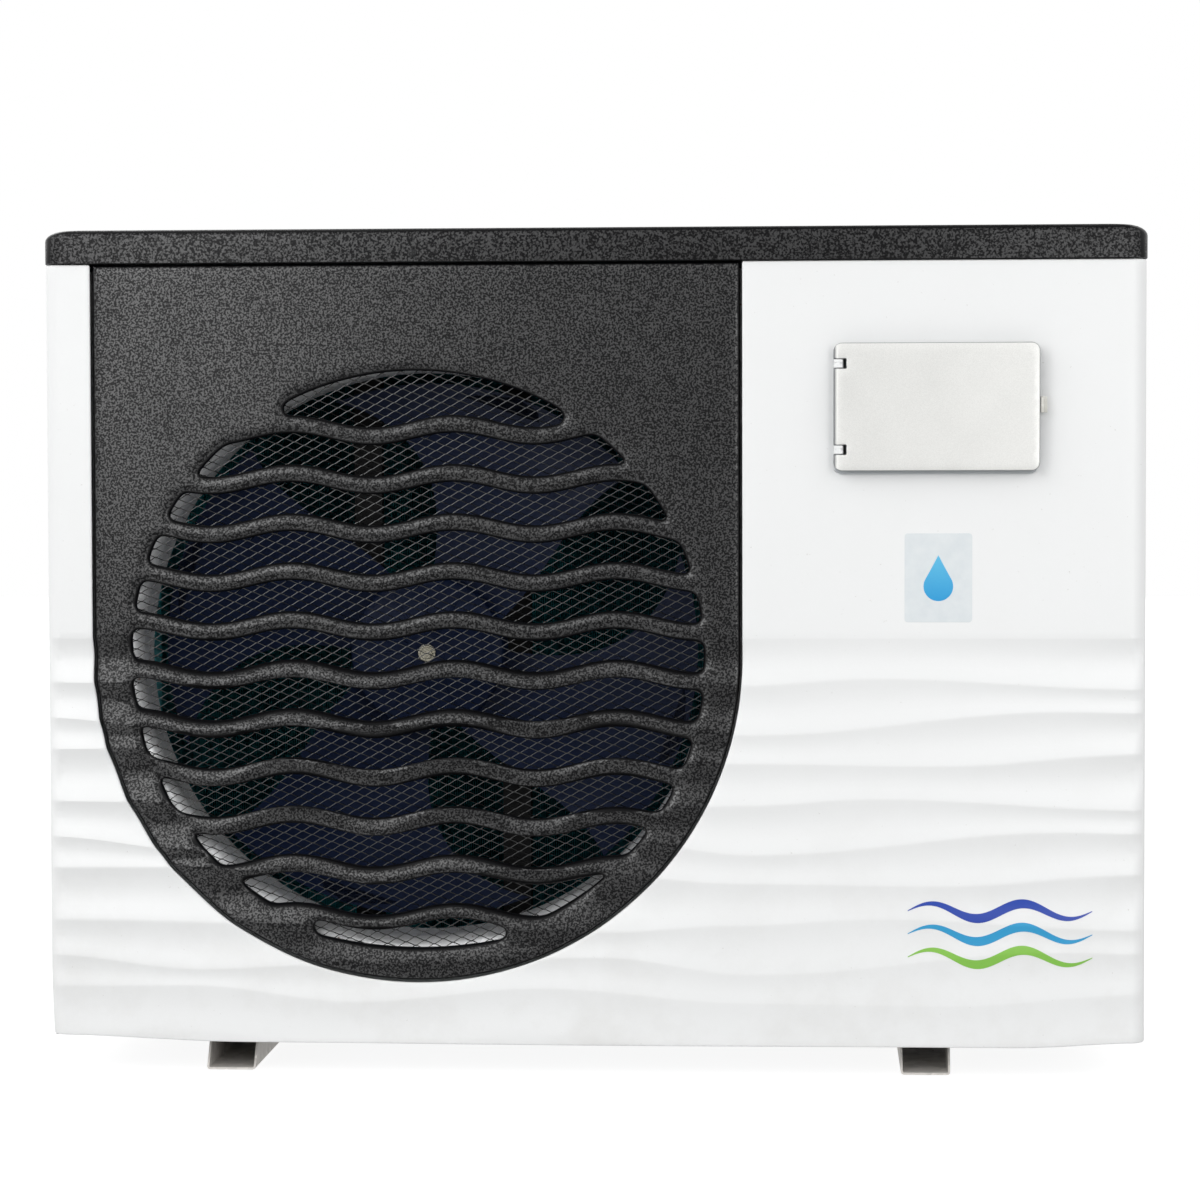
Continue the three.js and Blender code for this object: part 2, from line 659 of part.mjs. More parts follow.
function addPipes() {
  const { x, y, z, radius } = VALVE;
  const above = COMPRESSOR.top + 1;
  const discharge = [
    [COMPRESSOR.x, COMPRESSOR.y, above],
    [COMPRESSOR.x, COMPRESSOR.y, above + 22],
    [x + 4, y - 2, z - 34],
    [x, y, z - radius - 2],
  ];
  const suction = [
    [x - 30, y, z - radius - 3],
    [x - 34, y - 10, z - 46],
    [ACCUMULATOR.x + 24, ACCUMULATOR.y + 20, ACCUMULATOR.top + 62],
    [ACCUMULATOR.x, ACCUMULATOR.y, ACCUMULATOR.top + 30],
    [ACCUMULATOR.x, ACCUMULATOR.y, ACCUMULATOR.top + 1],
  ];
  const gas = [
    [x - 32, y, z + radius + 3],
    [x - 38, y + 14, z + 56],
    [SHELL.x + 40, SHELL.y - 20, SHELL.top + 46],
    [SHELL.x, SHELL.y, SHELL.top + 34],
    [SHELL.x, SHELL.y, SHELL.top + 1],
  ];
  const coilGas = [
    [x + 32, y, z + radius + 3],
    [x + 33, y + 6, z + radius + 28],
    [x + 10, y + 120, z + 66],
    [SHELL.x + 60, SHELL.y + 82, z + 70],
    [PARTITION + 12, REAR - 26, z + 70],
  ];
  const liquid = [
    [SHELL.x - 60, SHELL.y - 52, 84],
    [SHELL.x - 66, SHELL.y - 76, 84],
    [SHELL.x - 74, SHELL.y - 92, 104],
    [SHELL.x - 76, SHELL.y - 94, 150],
    [SHELL.x - 76, SHELL.y - 94, 208],
  ];
  add('discharge_pipe', pipe(discharge, 6, 10), COPPER);
  add('suction_pipe', pipe(suction, 8, 14), COPPER);
  add('exchanger_gas_pipe', pipe(gas, 6.5, 14), COPPER);
  add('coil_gas_pipe', pipe(coilGas, 6.5, 14), COPPER);
  add('liquid_pipe', pipe(liquid, 4.5, 12), COPPER);
}

function addExpansionValve() {
  const x = SHELL.x - 76;
  const y = SHELL.y - 94;
  const profile = [[0, 209], [9, 209], [9, 226], [13, 228], [13, 240], [17, 242], [17, 270], [10, 276], [0, 276]];
  add('expansion_valve', turned('Z', profile, x, y, 12), BRASS);
}

// ---------------------------------------------------------------- water side

const UNION_SEAT = REAR + 22; // sealing face of the water stubs, behind the rear panel

// Heat exchanger: a plastic vessel round a titanium coil, with two ports through the rear.
function addExchanger() {
  const { x, y, radius, bottom, top } = SHELL;
  const wall = 6;
  const body = turned('Z', vessel(radius, bottom, top, 40), x, y, 24);
  const space = turned('Z', vessel(radius - wall, bottom + wall, top - wall, 36), x, y, 16);
  const foot = turned('Z', [[0, PAN_FLOOR], [58, PAN_FLOOR], [58, PAN_FLOOR + 4], [50, bottom + 24], [0, bottom + 24]],
    x, y, 16);
  const { thread, bore } = WATER;
  const stub = [[0, y], [thread, y], [thread, UNION_SEAT], [0, UNION_SEAT]];
  const passage = [[0, y], [bore, y], [bore, UNION_SEAT + 5], [0, UNION_SEAT + 5]];
  const stubs = [WATER.inlet, WATER.outlet].map((z) => turned('Y', stub, x, z, 24));
  const bores = [WATER.inlet, WATER.outlet].map((z) => turned('Y', passage, x, z, 16));
  add('heat_exchanger_shell', cut(join(body, foot, ...stubs), space, ...bores), BLACK_PVC);

  const turns = 8;
  const perTurn = 8;
  const coil = Array.from({ length: turns * perTurn + 1 }, (_, i) => {
    const angle = (2 * Math.PI * i) / perTurn;
    return [x + 44 * Math.cos(angle), y + 44 * Math.sin(angle), bottom + 60 + (320 * i) / (turns * perTurn)];
  });
  add('titanium_coil', pipe(coil, 7, turns * perTurn), TITANIUM);
}

function addWaterConnection(side, z) {
  const { thread, bore, nut, reach } = WATER;
  const seat = UNION_SEAT;
  const tail = [
    [bore + 1, seat + GAP],
    [thread, seat + GAP],
    [thread, seat + 5],
    [25, seat + 5],
    [25, reach],
    [bore + 1, reach],
  ];
  const ring = [
    [thread + 0.4, seat - 12],
    [nut - 2, seat - 12],
    [nut, seat - 10],
    [nut, seat + 10],
    [nut - 3, seat + 13],
    [25.4, seat + 13],
    [25.4, seat + 5.4],
    [thread + 0.4, seat + 5.4],
  ];
  add(`water_${side}_tail`, turned('Y', tail, SHELL.x, z, 24), BLACK_PVC);
  add(`union_nut_${side}`, turned('Y', ring, SHELL.x, z, 24), BLACK_PVC);
}

// ---------------------------------------------------------------- electrics

const GLAND = { x: 440, z: 250 };

function addElectricalBox() {
  const { left, right, front, rear, bottom, top } = BOX;
  const tray = cut(
    box(left, right, front, rear, bottom, top),
    box(left + SHEET, right - SHEET, front + SHEET, rear - SHEET, bottom + SHEET, top + 5),
  );
  add('electrical_box', tray, GALVANISED);

  const board = bottom + SHEET + 8;
  add('inverter_board', box(left + 12, right - 90, front + 12, rear - 12, board, board + 1.6), BOARD_GREEN);
  const core = board + 1.6 + GAP;
  const reactor = join(
    box(left + 30, left + 90, front + 40, front + 90, core, core + 50),
    box(left + 22, left + 98, front + 52, front + 78, core, core + 8),
  );
  add('reactor', reactor, MOTOR_PAINT);
  const capacitor = [[0, core], [17, core], [17, core + 44], [15, core + 46], [0, core + 46]];
  add('capacitor', turned('Z', capacitor, left + 140, front + 70, 14), BLACK_PAINT);

  const ways = 5;
  const pitch = 14;
  const x0 = right - 80;
  const base = bottom + SHEET + GAP;
  const barriers = Array.from({ length: ways + 1 }, (_, i) =>
    box(x0 + i * pitch - 1, x0 + i * pitch + 1, front + 30, front + 66, base, base + 26));
  const block = join(box(x0, x0 + ways * pitch, front + 30, front + 66, base, base + 16), ...barriers);
  add('terminal_block', block, TERMINAL);
}

function addHeatSink() {
  const { left, front, bottom } = BOX;
  const top = bottom - GAP;
  const fins = 9;
  const pitch = 16;
  const width = (fins - 1) * pitch + 2;
  const x0 = left + 30;
  const leaves = Array.from({ length: fins }, (_, i) =>
    box(x0 + i * pitch, x0 + i * pitch + 2, front + 20, front + 160, top - 38, top - 4));
  add('heat_sink', join(box(x0, x0 + width, front + 20, front + 160, top - 6, top), ...leaves), ALUMINIUM);
}

function addCableGland() {
  const face = REAR + GAP;
  const profile = [
    [5, REAR - 14],
    [8.2, REAR - 14],
    [8.2, face],
    [13, face],
    [13, face + 7],
    [11.5, face + 7],
    [11.5, face + 16],
    [8, face + 22],
    [5, face + 22],
  ];
  add('cable_gland', turned('Y', profile, GLAND.x, GLAND.z, 12), BLACK_PVC);
}

// ---------------------------------------------------------------- controller

const knuckleEnds = (z) => [z - HINGE.length / 2, z + HINGE.length / 2];

function addControllerBase() {
  const { left, right, bottom, top, face, floor, rear } = PAD;
  const lip = 2;
  const rim = prism('Y', roundedRectangle(left, bottom, right, top, 8), face, -GAP);
  const body = box(left + lip, right - lip, face + 1, rear, bottom + lip, top - lip);
  const latchLug = box(right - 3, LATCH.right, face, -GAP, LATCH.bottom, LATCH.top);
  const knuckles = HINGE.heights.flatMap((z) => {
    const [z0, z1] = knuckleEnds(z);
    return [
      prism('Z', circle(HINGE.x, HINGE.y, HINGE.knuckle, 14), z0, z1),
      box(left + 0.6, HINGE.x + 3.2, HINGE.y + 0.5, face + 1, z0, z1),
    ];
  });
  const wellInset = 8;
  const well = box(left + wellInset, right - wellInset, face - 1, floor, bottom + wellInset + 1, top - wellInset + 3);
  const back = box(left + lip + 2, right - lip - 2, floor + 2, rear + 1, bottom + lip + 2, top - lip - 2);
  const bores = HINGE.heights.map((z) =>
    prism('Z', circle(HINGE.x, HINGE.y, HINGE.pin + GAP, 10), z - 20, z + 20));
  const keyHoles = KEYS.names.map((_, i) =>
    prism('Y', circle(KEYS.first + i * KEYS.pitch, KEYS.z, KEYS.radius + 0.4, 12), 0, rear));
  add(
    'controller_base',
    cut(join(rim, body, latchLug, ...knuckles), well, back, ...bores, ...keyHoles),
    CONTROL_GREY,
  );
}

function addControllerFace() {
  const floor = PAD.floor - GAP;
  add('controller_display', box(262, 364, floor - 2.5, floor, 622, 682), DISPLAY_GLASS);
  KEYS.names.forEach((name, i) => {
    const rear = PAD.floor + 2 + GAP;
    const profile = [[0, 3], [5, 3], [6, 3.8], [6, rear], [7.5, rear], [7.5, rear + 1.2], [0, rear + 1.2]];
    add(`button_${name}`, turned('Y', profile, KEYS.first + i * KEYS.pitch, KEYS.z, 12), KEY_RUBBER);
  });
}

// The door is a shallow shell. Its hinge edge is rounded about the pins, and notched for the knuckles.
function addControllerDoor() {
  const { left, right, bottom, top, front, back, corner, wall } = DOOR;
  const radius = HINGE.x - left;
  const face = prism('Y', roundedRectangle(left, bottom, right, top, corner, 4), front, back);
  const plan = [
    ...arc(HINGE.x, HINGE.y, radius, 90, 270, 8),
    [right, front],
    [right, back],
  ];
  const hollow = box(left + 13, right - wall, front + wall, back + 1, bottom + wall, top - wall);
  const notches = HINGE.heights.map((z) => {
    const [z0, z1] = knuckleEnds(z);
    return box(left - 1, HINGE.x + 7, front - 1, back + 1, z0 - 0.4, z1 + 0.4);
  });
  const bores = HINGE.heights.map((z) =>
    prism('Z', circle(HINGE.x, HINGE.y, HINGE.pin + GAP, 10), z - 10.5, z + 10.5));
  const door = cut(
    common(face, prism('Z', plan, bottom - 1, top + 1)),
    hollow,
    ...notches,
    ...bores,
  );
  add('controller_door', door, SILVER_ABS);
  HINGE.heights.forEach((z, i) => {
    const pin = prism('Z', circle(HINGE.x, HINGE.y, HINGE.pin, 10), z - 10, z + 10);
    add(`hinge_pin_${i ? 'upper' : 'lower'}`, pin, STEEL);
  });
}

function addLatch() {
  const { left, right, bottom, top, front } = LATCH;
  const outline = [
    [left, front],
    [left + 3, front],
    [left + 3.4, -8],
    [right, -7],
    [right, PAD.face - GAP],
    [left, PAD.face - GAP],
  ];
  add('latch_tab', prism('Z', outline, bottom, top), CLEAR_PLASTIC);
}

// ---------------------------------------------------------------- assembly

addFeet();
addBasePan();
addDrainSpigot();
addFrontPanel();
addGrillePanel();
addGuardMesh();
addLid();
addLidScrews();
addLeftPanel();
addRightPanel();
addRearPanel();
addRearGuard();
addBulkhead();
addPartition();
addShroud();
addFanRotor();
addFanShaft();
addHubScrew();
addMotor();
addMotorBracket();
addCoil();
addCompressor();
addAccumulator();
addFourWayValve();
addPipes();
addExpansionValve();
addExchanger();
addWaterConnection('inlet', WATER.inlet);
addWaterConnection('outlet', WATER.outlet);
addElectricalBox();
addHeatSink();
addCableGland();
addControllerBase();
addControllerFace();
addControllerDoor();
addLatch();

cabinet.position.y = -(DOOR.front + WATER.reach) / 2;

const heatPump = new THREE.Group();
heatPump.add(cabinet);
export default heatPump;
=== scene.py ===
"""A pool heat pump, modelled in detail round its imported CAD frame.

Lengths are millimetres in the cabinet frame: X to the right of someone who faces the unit, Y from
the flat of the front panel to the rear, Z up from the ground. to_frame() turns them into metres.
"""
import json
import math

import bmesh
import bpy
import numpy as np
from mathutils import Euler, Matrix, Vector
from mathutils.geometry import delaunay_2d_cdt
from mathutils.kdtree import KDTree

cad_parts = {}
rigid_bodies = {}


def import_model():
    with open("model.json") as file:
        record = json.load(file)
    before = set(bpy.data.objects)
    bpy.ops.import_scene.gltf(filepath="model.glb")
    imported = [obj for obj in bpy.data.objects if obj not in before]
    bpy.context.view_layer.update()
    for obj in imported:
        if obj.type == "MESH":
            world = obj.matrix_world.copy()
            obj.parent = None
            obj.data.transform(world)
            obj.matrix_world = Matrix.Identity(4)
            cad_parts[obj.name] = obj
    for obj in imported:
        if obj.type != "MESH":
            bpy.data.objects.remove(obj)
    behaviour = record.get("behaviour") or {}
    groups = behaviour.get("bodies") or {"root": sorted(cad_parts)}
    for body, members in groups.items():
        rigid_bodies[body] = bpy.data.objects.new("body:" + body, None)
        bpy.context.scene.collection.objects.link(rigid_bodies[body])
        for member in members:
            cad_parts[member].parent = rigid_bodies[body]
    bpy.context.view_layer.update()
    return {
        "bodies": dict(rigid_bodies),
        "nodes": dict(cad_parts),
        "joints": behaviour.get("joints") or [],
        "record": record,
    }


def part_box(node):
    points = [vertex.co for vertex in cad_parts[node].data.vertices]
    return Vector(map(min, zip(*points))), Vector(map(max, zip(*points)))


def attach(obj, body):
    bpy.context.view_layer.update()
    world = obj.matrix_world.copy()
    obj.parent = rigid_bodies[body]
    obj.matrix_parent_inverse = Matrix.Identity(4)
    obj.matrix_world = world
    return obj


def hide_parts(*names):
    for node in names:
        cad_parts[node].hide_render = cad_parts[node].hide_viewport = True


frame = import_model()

MM = 0.001
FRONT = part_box("front_panel")[0][1]  # where the flat of the front panel lies, in metres


def to_frame(points):
    """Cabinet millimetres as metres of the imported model."""
    metres = np.asarray(points, float).reshape(-1, 3) * MM
    metres[:, 1] += FRONT
    return metres


def span(node):
    """The lowest and highest corner of a CAD node, in cabinet millimetres."""
    shift = Vector((0, FRONT, 0))
    return tuple((corner - shift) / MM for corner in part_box(node))


def middle(node, axes):
    """The middle of a CAD node along each of the axes, such as "xz"."""
    low, high = span(node)
    return [(getattr(low, axis) + getattr(high, axis)) / 2 for axis in axes]


# ---- driving sizes

PANEL_HIGH = span("front_panel")[1]
PANEL_TOP = PANEL_HIGH.z
HALF = PANEL_HIGH.x
REAR = span("rear_panel")[1].y
RETURN = PANEL_HIGH.y  # how far the front panel's sides reach back
SKIN = 3
CORNER = 14  # plan radius of the front panel's vertical corners

GRILLE_X = -168
GRILLE_Z = 399.8
RECESS_RADIUS = 311.5
GRILLE_RADIUS = 309.2
GRILLE_FRONT = 1
GRILLE_DEPTH = 9
FIELD_Z = 398.5
FIELD_RADIUS = 275
BAR_COUNT = 11
BAR_PITCH = 46.75
BAR_TOP = 617
BAR_THICKNESS = 17
LAST_SLOT_RADIUS = 400  # of the last slot's lower side, flatter than the field
LAST_SLOT_DROP = 2  # how far its lower side dips below the field
LAST_SLOT_LIFT = 3  # how far its upper side cuts into the last bar
LAST_SLOT_MIDDLE = -175
LAST_SLOT_HALF = 93  # half its width
BAR_ROLL = 7.4  # the bars are rounded almost to their middles
BLUNT_TIP = 11  # height at which the tips of the first and last slots are cut short
BAR_WAVE = 155.5
BAR_SWING = 6
BAR_CREST = -287

FAN_X, FAN_Z = middle("hub_screw", "xz")
FAN_FRONT = span("fan_rotor")[0].y
FAN_HUB = 75
FAN_TIP = 262
SHROUD_LOW, SHROUD_HIGH = span("fan_shroud")
DUCT_FLANGE = 36  # how far the ring's flange reaches out from the duct
DUCT_RADIUS = (SHROUD_HIGH.x - SHROUD_LOW.x) / 2 - DUCT_FLANGE

WATER_X = 255
WATER_HEIGHTS = {"inlet": 130, "outlet": 430}
GLAND_PLACE = (440, 250)


# ---- outlines

def arc(cx, cy, radius, start, end, steps):
    angles = np.radians(np.linspace(start, end, steps + 1))
    return [(cx + radius * math.cos(a), cy + radius * math.sin(a)) for a in angles]


def circle(cx, cy, radius, steps):
    return arc(cx, cy, radius, 0, 360, steps)[:-1]


def rounded(u0, v0, u1, v1, radius, steps=5):
    """A rectangle with round corners, anticlockwise."""
    return [
        *arc(u1 - radius, v0 + radius, radius, -90, 0, steps),
        *arc(u1 - radius, v1 - radius, radius, 0, 90, steps),
        *arc(u0 + radius, v1 - radius, radius, 90, 180, steps),
        *arc(u0 + radius, v0 + radius, radius, 180, 270, steps),
    ]


def area_of(loop):
    after = np.roll(loop, -1, axis=0)
    return 0.5 * np.sum(loop[:, 0] * after[:, 1] - after[:, 0] * loop[:, 1])


def resampled(loop, step):
    """The closed loop again, with even spaces of about step between its points."""
    points = np.asarray(loop, float)
    closed = np.vstack([points, points[:1]])
    along = np.concatenate([[0], np.cumsum(np.linalg.norm(np.diff(closed, axis=0), axis=1))])
    count = max(12, round(along[-1] / step))
    at = np.arange(count) * along[-1] / count
    return np.column_stack([np.interp(at, along, closed[:, i]) for i in (0, 1)])


def softened(loop, passes):
    """The loop with its corners rounded by averaging neighbours."""
    for _ in range(passes):
        loop = 0.5 * loop + 0.25 * (np.roll(loop, 1, axis=0) + np.roll(loop, -1, axis=0))
    return loop


def shifted(loop, distance):
    """The loop moved to its left by distance."""
    before = loop - np.roll(loop, 1, axis=0)
    after = np.roll(loop, -1, axis=0) - loop
    before /= np.linalg.norm(before, axis=1)[:, None]
    after /= np.linalg.norm(after, axis=1)[:, None]
    tangent = before + after
    tangent /= np.linalg.norm(tangent, axis=1)[:, None]
    return loop + distance * np.column_stack([-tangent[:, 1], tangent[:, 0]])


def inset(outline, distance):
    """An anticlockwise outline drawn in by distance."""
    return shifted(np.asarray(outline, float), distance)


def oriented(loops):
    """Loops turned so that the sheet lies on their left: the first is the outline, the rest holes."""
    turned = []
    for i, loop in enumerate(loops):
        anticlockwise = area_of(loop) > 0
        turned.append(loop if anticlockwise == (i == 0) else loop[::-1].copy())
    return turned


def eased(x, stations):
    """A smooth curve through (x, value) stations, level at each of them."""
    xs, values = np.asarray(stations, float).T
    x = np.clip(x, xs[0], xs[-1])
    i = np.clip(np.searchsorted(xs, x, side="right") - 1, 0, len(xs) - 2)
    t = (1 - np.cos(np.pi * (x - xs[i]) / (xs[i + 1] - xs[i]))) / 2
    return values[i] + (values[i + 1] - values[i]) * t


# ---- mesh code

AXES = {
    "X": lambda u, v, h: (h, u, v),
    "Y": lambda u, v, h: (u, h, v),
    "Z": lambda u, v, h: (u, v, h),
}


def square_to(out):
    """Two unit vectors, square to the unit vector out and to each other."""
    helper = Vector((0, 0, 1)) if abs(out.z) < 0.9 else Vector((1, 0, 0))
    u = out.cross(helper).normalized()
    return u, out.cross(u)


def spoke(angle):
    """Unit vectors along a spoke and across it, for a wheel that faces the front."""
    cos, sin = math.cos(angle), math.sin(angle)
    return Vector((cos, 0, sin)), Vector((-sin, 0, cos))


class Shape:
    """Points and faces in cabinet millimetres, collected piece by piece."""

    def __init__(self):
        self.points = []
        self.faces = []

    def add(self, points, faces):
        start = len(self.points)
        self.points.extend(tuple(p) for p in points)
        self.faces.extend([start + i for i in face] for face in faces)

    def loft(self, rings, closed=False, caps=True):
        """Skin over rings of equally many points. closed joins the last ring to the first."""
        sides = len(rings[0])
        faces = []
        for i in range(len(rings) if closed else len(rings) - 1):
            j = (i + 1) % len(rings)
            for k in range(sides):
                m = (k + 1) % sides
                faces.append([i * sides + k, i * sides + m, j * sides + m, j * sides + k])
        if caps and not closed:
            faces.append(list(range(sides))[::-1])
            faces.append([(len(rings) - 1) * sides + k for k in range(sides)])
        self.add([p for ring in rings for p in ring], faces)

    def turned(self, axis, profile, cu, cv, steps=48):
        """A closed profile of (radius, height) points, turned about an axis through (cu, cv)."""
        rings = []
        for angle in np.radians(np.arange(steps) * 360 / steps):
            cos, sin = math.cos(angle), math.sin(angle)
            rings.append([AXES[axis](cu + r * cos, cv + r * sin, h) for r, h in profile])
        self.loft(rings, closed=True)

    def prism(self, axis, outline, start, end, bevel=0.0):
        """An outline pushed along an axis, with its rims bevelled."""
        levels = [(bevel, start), (0, start + bevel), (0, end - bevel), (bevel, end)]
        if not bevel:
            levels = [(0, start), (0, end)]
        self.loft([[AXES[axis](u, v, h) for u, v in inset(outline, d)] for d, h in levels])

    def block(self, low, high, bevel=0.6):
        """A box with its long edges rounded and its ends bevelled."""
        outline = rounded(low[0], low[1], high[0], high[1], bevel * 1.5, 2)
        self.prism("Z", outline, low[2], high[2], bevel)

    def tube(self, path, radius, sides=12):
        """A round bar along a path."""
        section = circle(0, 0, radius, sides)
        path = [Vector(p) for p in path]
        across, _ = square_to((path[1] - path[0]).normalized())
        rings = []
        for i, point in enumerate(path):
            ahead = path[min(i + 1, len(path) - 1)] - path[max(i - 1, 0)]
            tangent = ahead.normalized()
            across = (across - tangent * across.dot(tangent)).normalized()
            up = across.cross(tangent)
            rings.append([point + across * a + up * b for a, b in section])
        self.loft(rings)


def make(name, shape, slot, body="cabinet", stands_for=None, sharp=32, material=None):
    """A Blender piece from a shape: merged, faces out, smooth up to the sharp angle.

    It has its slot's material unless another is given, and stands for one CAD node or none.
    """
    mesh = bpy.data.meshes.new(name)
    mesh.from_pydata(to_frame(shape.points).tolist(), [], shape.faces)
    work = bmesh.new()
    work.from_mesh(mesh)
    bmesh.ops.remove_doubles(work, verts=work.verts, dist=1e-6)
    bmesh.ops.dissolve_degenerate(work, edges=work.edges, dist=1e-7)
    bmesh.ops.recalc_face_normals(work, faces=work.faces)
    work.to_mesh(mesh)
    work.free()
    mesh.shade_smooth()
    mesh.set_sharp_from_angle(angle=math.radians(sharp))
    mesh.materials.append(material or MATERIALS[slot])
    piece = bpy.data.objects.new(name, mesh)
    bpy.context.collection.objects.link(piece)
    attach(piece, body)
    if stands_for:
        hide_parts(stands_for)
    return piece


# ---- moulded sheets

EDGE_ANGLES = np.radians((0, 18, 38, 62, 90))
FLAT_RING = 1.6  # where a ring of points follows an edge that isn't rolled
RING_CLEARANCE = 1.2  # between the innermost ring and the grid
DEEPEST_ROLL = 5
ROW_SPACING = 0.87  # of the step, as in a grid of equilateral triangles


def distances(loops, grid):
    """How far each grid point lies from the nearest point of a loop."""
    rims = np.vstack(loops)
    tree = KDTree(len(rims))
    for i, (u, v) in enumerate(rims):
        tree.insert((u, v, 0), i)
    tree.balance()
    return np.array([tree.find((u, v, 0))[2] for u, v in grid])


def within(loops, grid):
    """Which grid points lie on the sheet: a line from one crosses the rims an odd number of times."""
    odd = np.zeros(len(grid), bool)
    u, v = grid[:, 0], grid[:, 1]
    for loop in loops:
        for (u0, v0), (u1, v1) in zip(loop, np.roll(loop, -1, axis=0)):
            if v0 != v1:
                between = (v0 > v) != (v1 > v)
                odd ^= between & (u < u0 + (v - v0) * (u1 - u0) / (v1 - v0))
    return odd


def rolled_rings(roll):
    """Steps (inward, drop) over a rolled edge, which falls away by less than it is wide."""
    if not roll:
        return [(0, 0), (FLAT_RING, 0)]
    depth = min(roll, DEEPEST_ROLL)
    return [(roll * (1 - math.cos(a)), depth * (1 - math.sin(a))) for a in EDGE_ANGLES]


def triangulated(loops, roll, grid):
    """Points, drops and triangles of a sheet. Loops have the sheet on their left.

    The roll is the width of the rolled edge, one for all loops or one for each.
    """
    points, drops, edges, starts = [], [], [], []
    for loop, width in zip(loops, np.broadcast_to(roll, len(loops))):
        starts.append(len(points))
        count = len(loop)
        edges.extend((starts[-1] + i, starts[-1] + (i + 1) % count) for i in range(count))
        for distance, drop in rolled_rings(width):
            points.extend(shifted(loop, distance).tolist())
            drops.extend([drop] * count)
    clear = max(np.max(roll), FLAT_RING) + RING_CLEARANCE
    kept = grid[within(loops, grid) & (distances(loops, grid) > clear)]
    points.extend(kept.tolist())
    drops.extend([0] * len(kept))
    rims = {start + i for start, loop in zip(starts, loops) for i in range(len(loop))}
    flat = [Vector(p) for p in points]
    _, _, faces, sources, _, _ = delaunay_2d_cdt(flat, edges, [], 0, 1e-4, True)
    used = [ids[0] for ids in sources]
    faces = [[used[i] for i in face] for face in faces]
    # every triangle of the sheet has a corner off the rims; the rest bridge a hole or a notch
    return np.array(points), np.array(drops), [f for f in faces if not rims.issuperset(f)], starts


def sheet(shape, loops, roll, grid, coarse, front, back):
    """A closed moulded sheet. front(u, v, drop) and back(u, v) place its two faces."""
    loops = oriented(loops)
    points, drops, faces, starts = triangulated(loops, roll, grid)
    base = len(shape.points)
    shape.add(front(points[:, 0], points[:, 1], drops), faces)
    rear_points, _, rear_faces, rear_starts = triangulated(loops, 0, coarse)
    rear_base = len(shape.points)
    shape.add(back(rear_points[:, 0], rear_points[:, 1]), [face[::-1] for face in rear_faces])
    for loop, start, rear_start in zip(loops, starts, rear_starts):
        for i in range(len(loop)):
            j = (i + 1) % len(loop)
            a, b = base + start + i, base + start + j
            c, d = rear_base + rear_start + i, rear_base + rear_start + j
            shape.faces.append([b, a, c, d])


def lattice(u0, u1, v0, v1, step):
    """Points in staggered rows over a rectangle."""
    rows = []
    for k, v in enumerate(np.arange(v0, v1, step * ROW_SPACING)):
        us = np.arange(u0 + (k % 2) * step / 2, u1, step)
        rows.append(np.column_stack([us, np.full_like(us, v)]))
    return np.vstack(rows)


# ---- relief of the lower front

RELIEF_START = 419
RELIEF_PITCH = 114.3
RELIEF_GROUPS = 3
RELIEF_LAST = 45  # height of the scoop under the last crease
SCOOP_DEPTH = 0.2  # of the height between two creases
SCOOP_SKEW = 0.8  # under 1, the deepest place lies above the middle
SCOOP_ROUND = 1.45  # over 1, the creases between scoops are rounded over
CREASES = [  # heights of the first group's three creases, from left to right
    [(-524, 376), (-200, 371), (10, 366), (140, 373), (270, 380), (524, 370)],
    [(-524, 342), (-375, 328.5), (-270, 333), (10, 342), (150, 326), (450, 349), (524, 348)],
    [(-524, 312), (-385, 313), (-230, 298), (-50, 312), (144, 299), (330, 297), (524, 309)],
]
STRENGTH = [(-524, 0.8), (0, 0.7), (130, 0.4), (270, 0.3), (440, 0.42), (524, 0.6)]
GROUP_STRENGTH = [1, 1, 1, 1, 1, 0.9, 0.8, 0.6, 0.5, 0.3]  # the scoops grow fainter near the ground
RELIEF_EDGE = 524.5  # where the scoops stop, at the vertical corners
RELIEF_FADE = 15
SCOOP_PLACES = (0.04, 0.14, 0.3, 0.5, 0.7, 0.86, 0.96)


def crease_heights(x):
    """Heights of every crease at each x, from the start line down, one row for each crease."""
    rows = [np.full_like(x, RELIEF_START)]
    for group in range(RELIEF_GROUPS):
        rows.extend(eased(x, path) - group * RELIEF_PITCH for path in CREASES)
    rows.append(rows[-1] - RELIEF_LAST)
    return np.array(rows)


def relief(x, z):
    """How far the surface lies behind the flat of the panel."""
    heights = crease_heights(x)
    gaps = heights[:-1] - heights[1:]
    depth = np.zeros_like(x)
    for upper, gap, share in zip(heights, gaps, GROUP_STRENGTH):
        t = np.clip((upper - z) / gap, 0, 1)
        depth += share * gap * np.sin(np.pi * t**SCOOP_SKEW) ** SCOOP_ROUND
    fade = np.clip((RELIEF_EDGE - np.abs(x)) / RELIEF_FADE, 0, 1)
    return SCOOP_DEPTH * depth * eased(x, STRENGTH) * np.sin(np.pi / 2 * fade)


def relief_grid(x0, x1, step):
    """Rows of points that follow the creases."""
    x = np.arange(x0, x1, step)
    heights = crease_heights(x)
    rows = []
    for upper, lower in zip(heights[:-1], heights[1:]):
        rows.append(upper)
        rows.extend(upper + (lower - upper) * place for place in SCOOP_PLACES)
    rows.append(heights[-1])
    return np.vstack([np.column_stack([x, row]) for row in rows])


# ---- materials

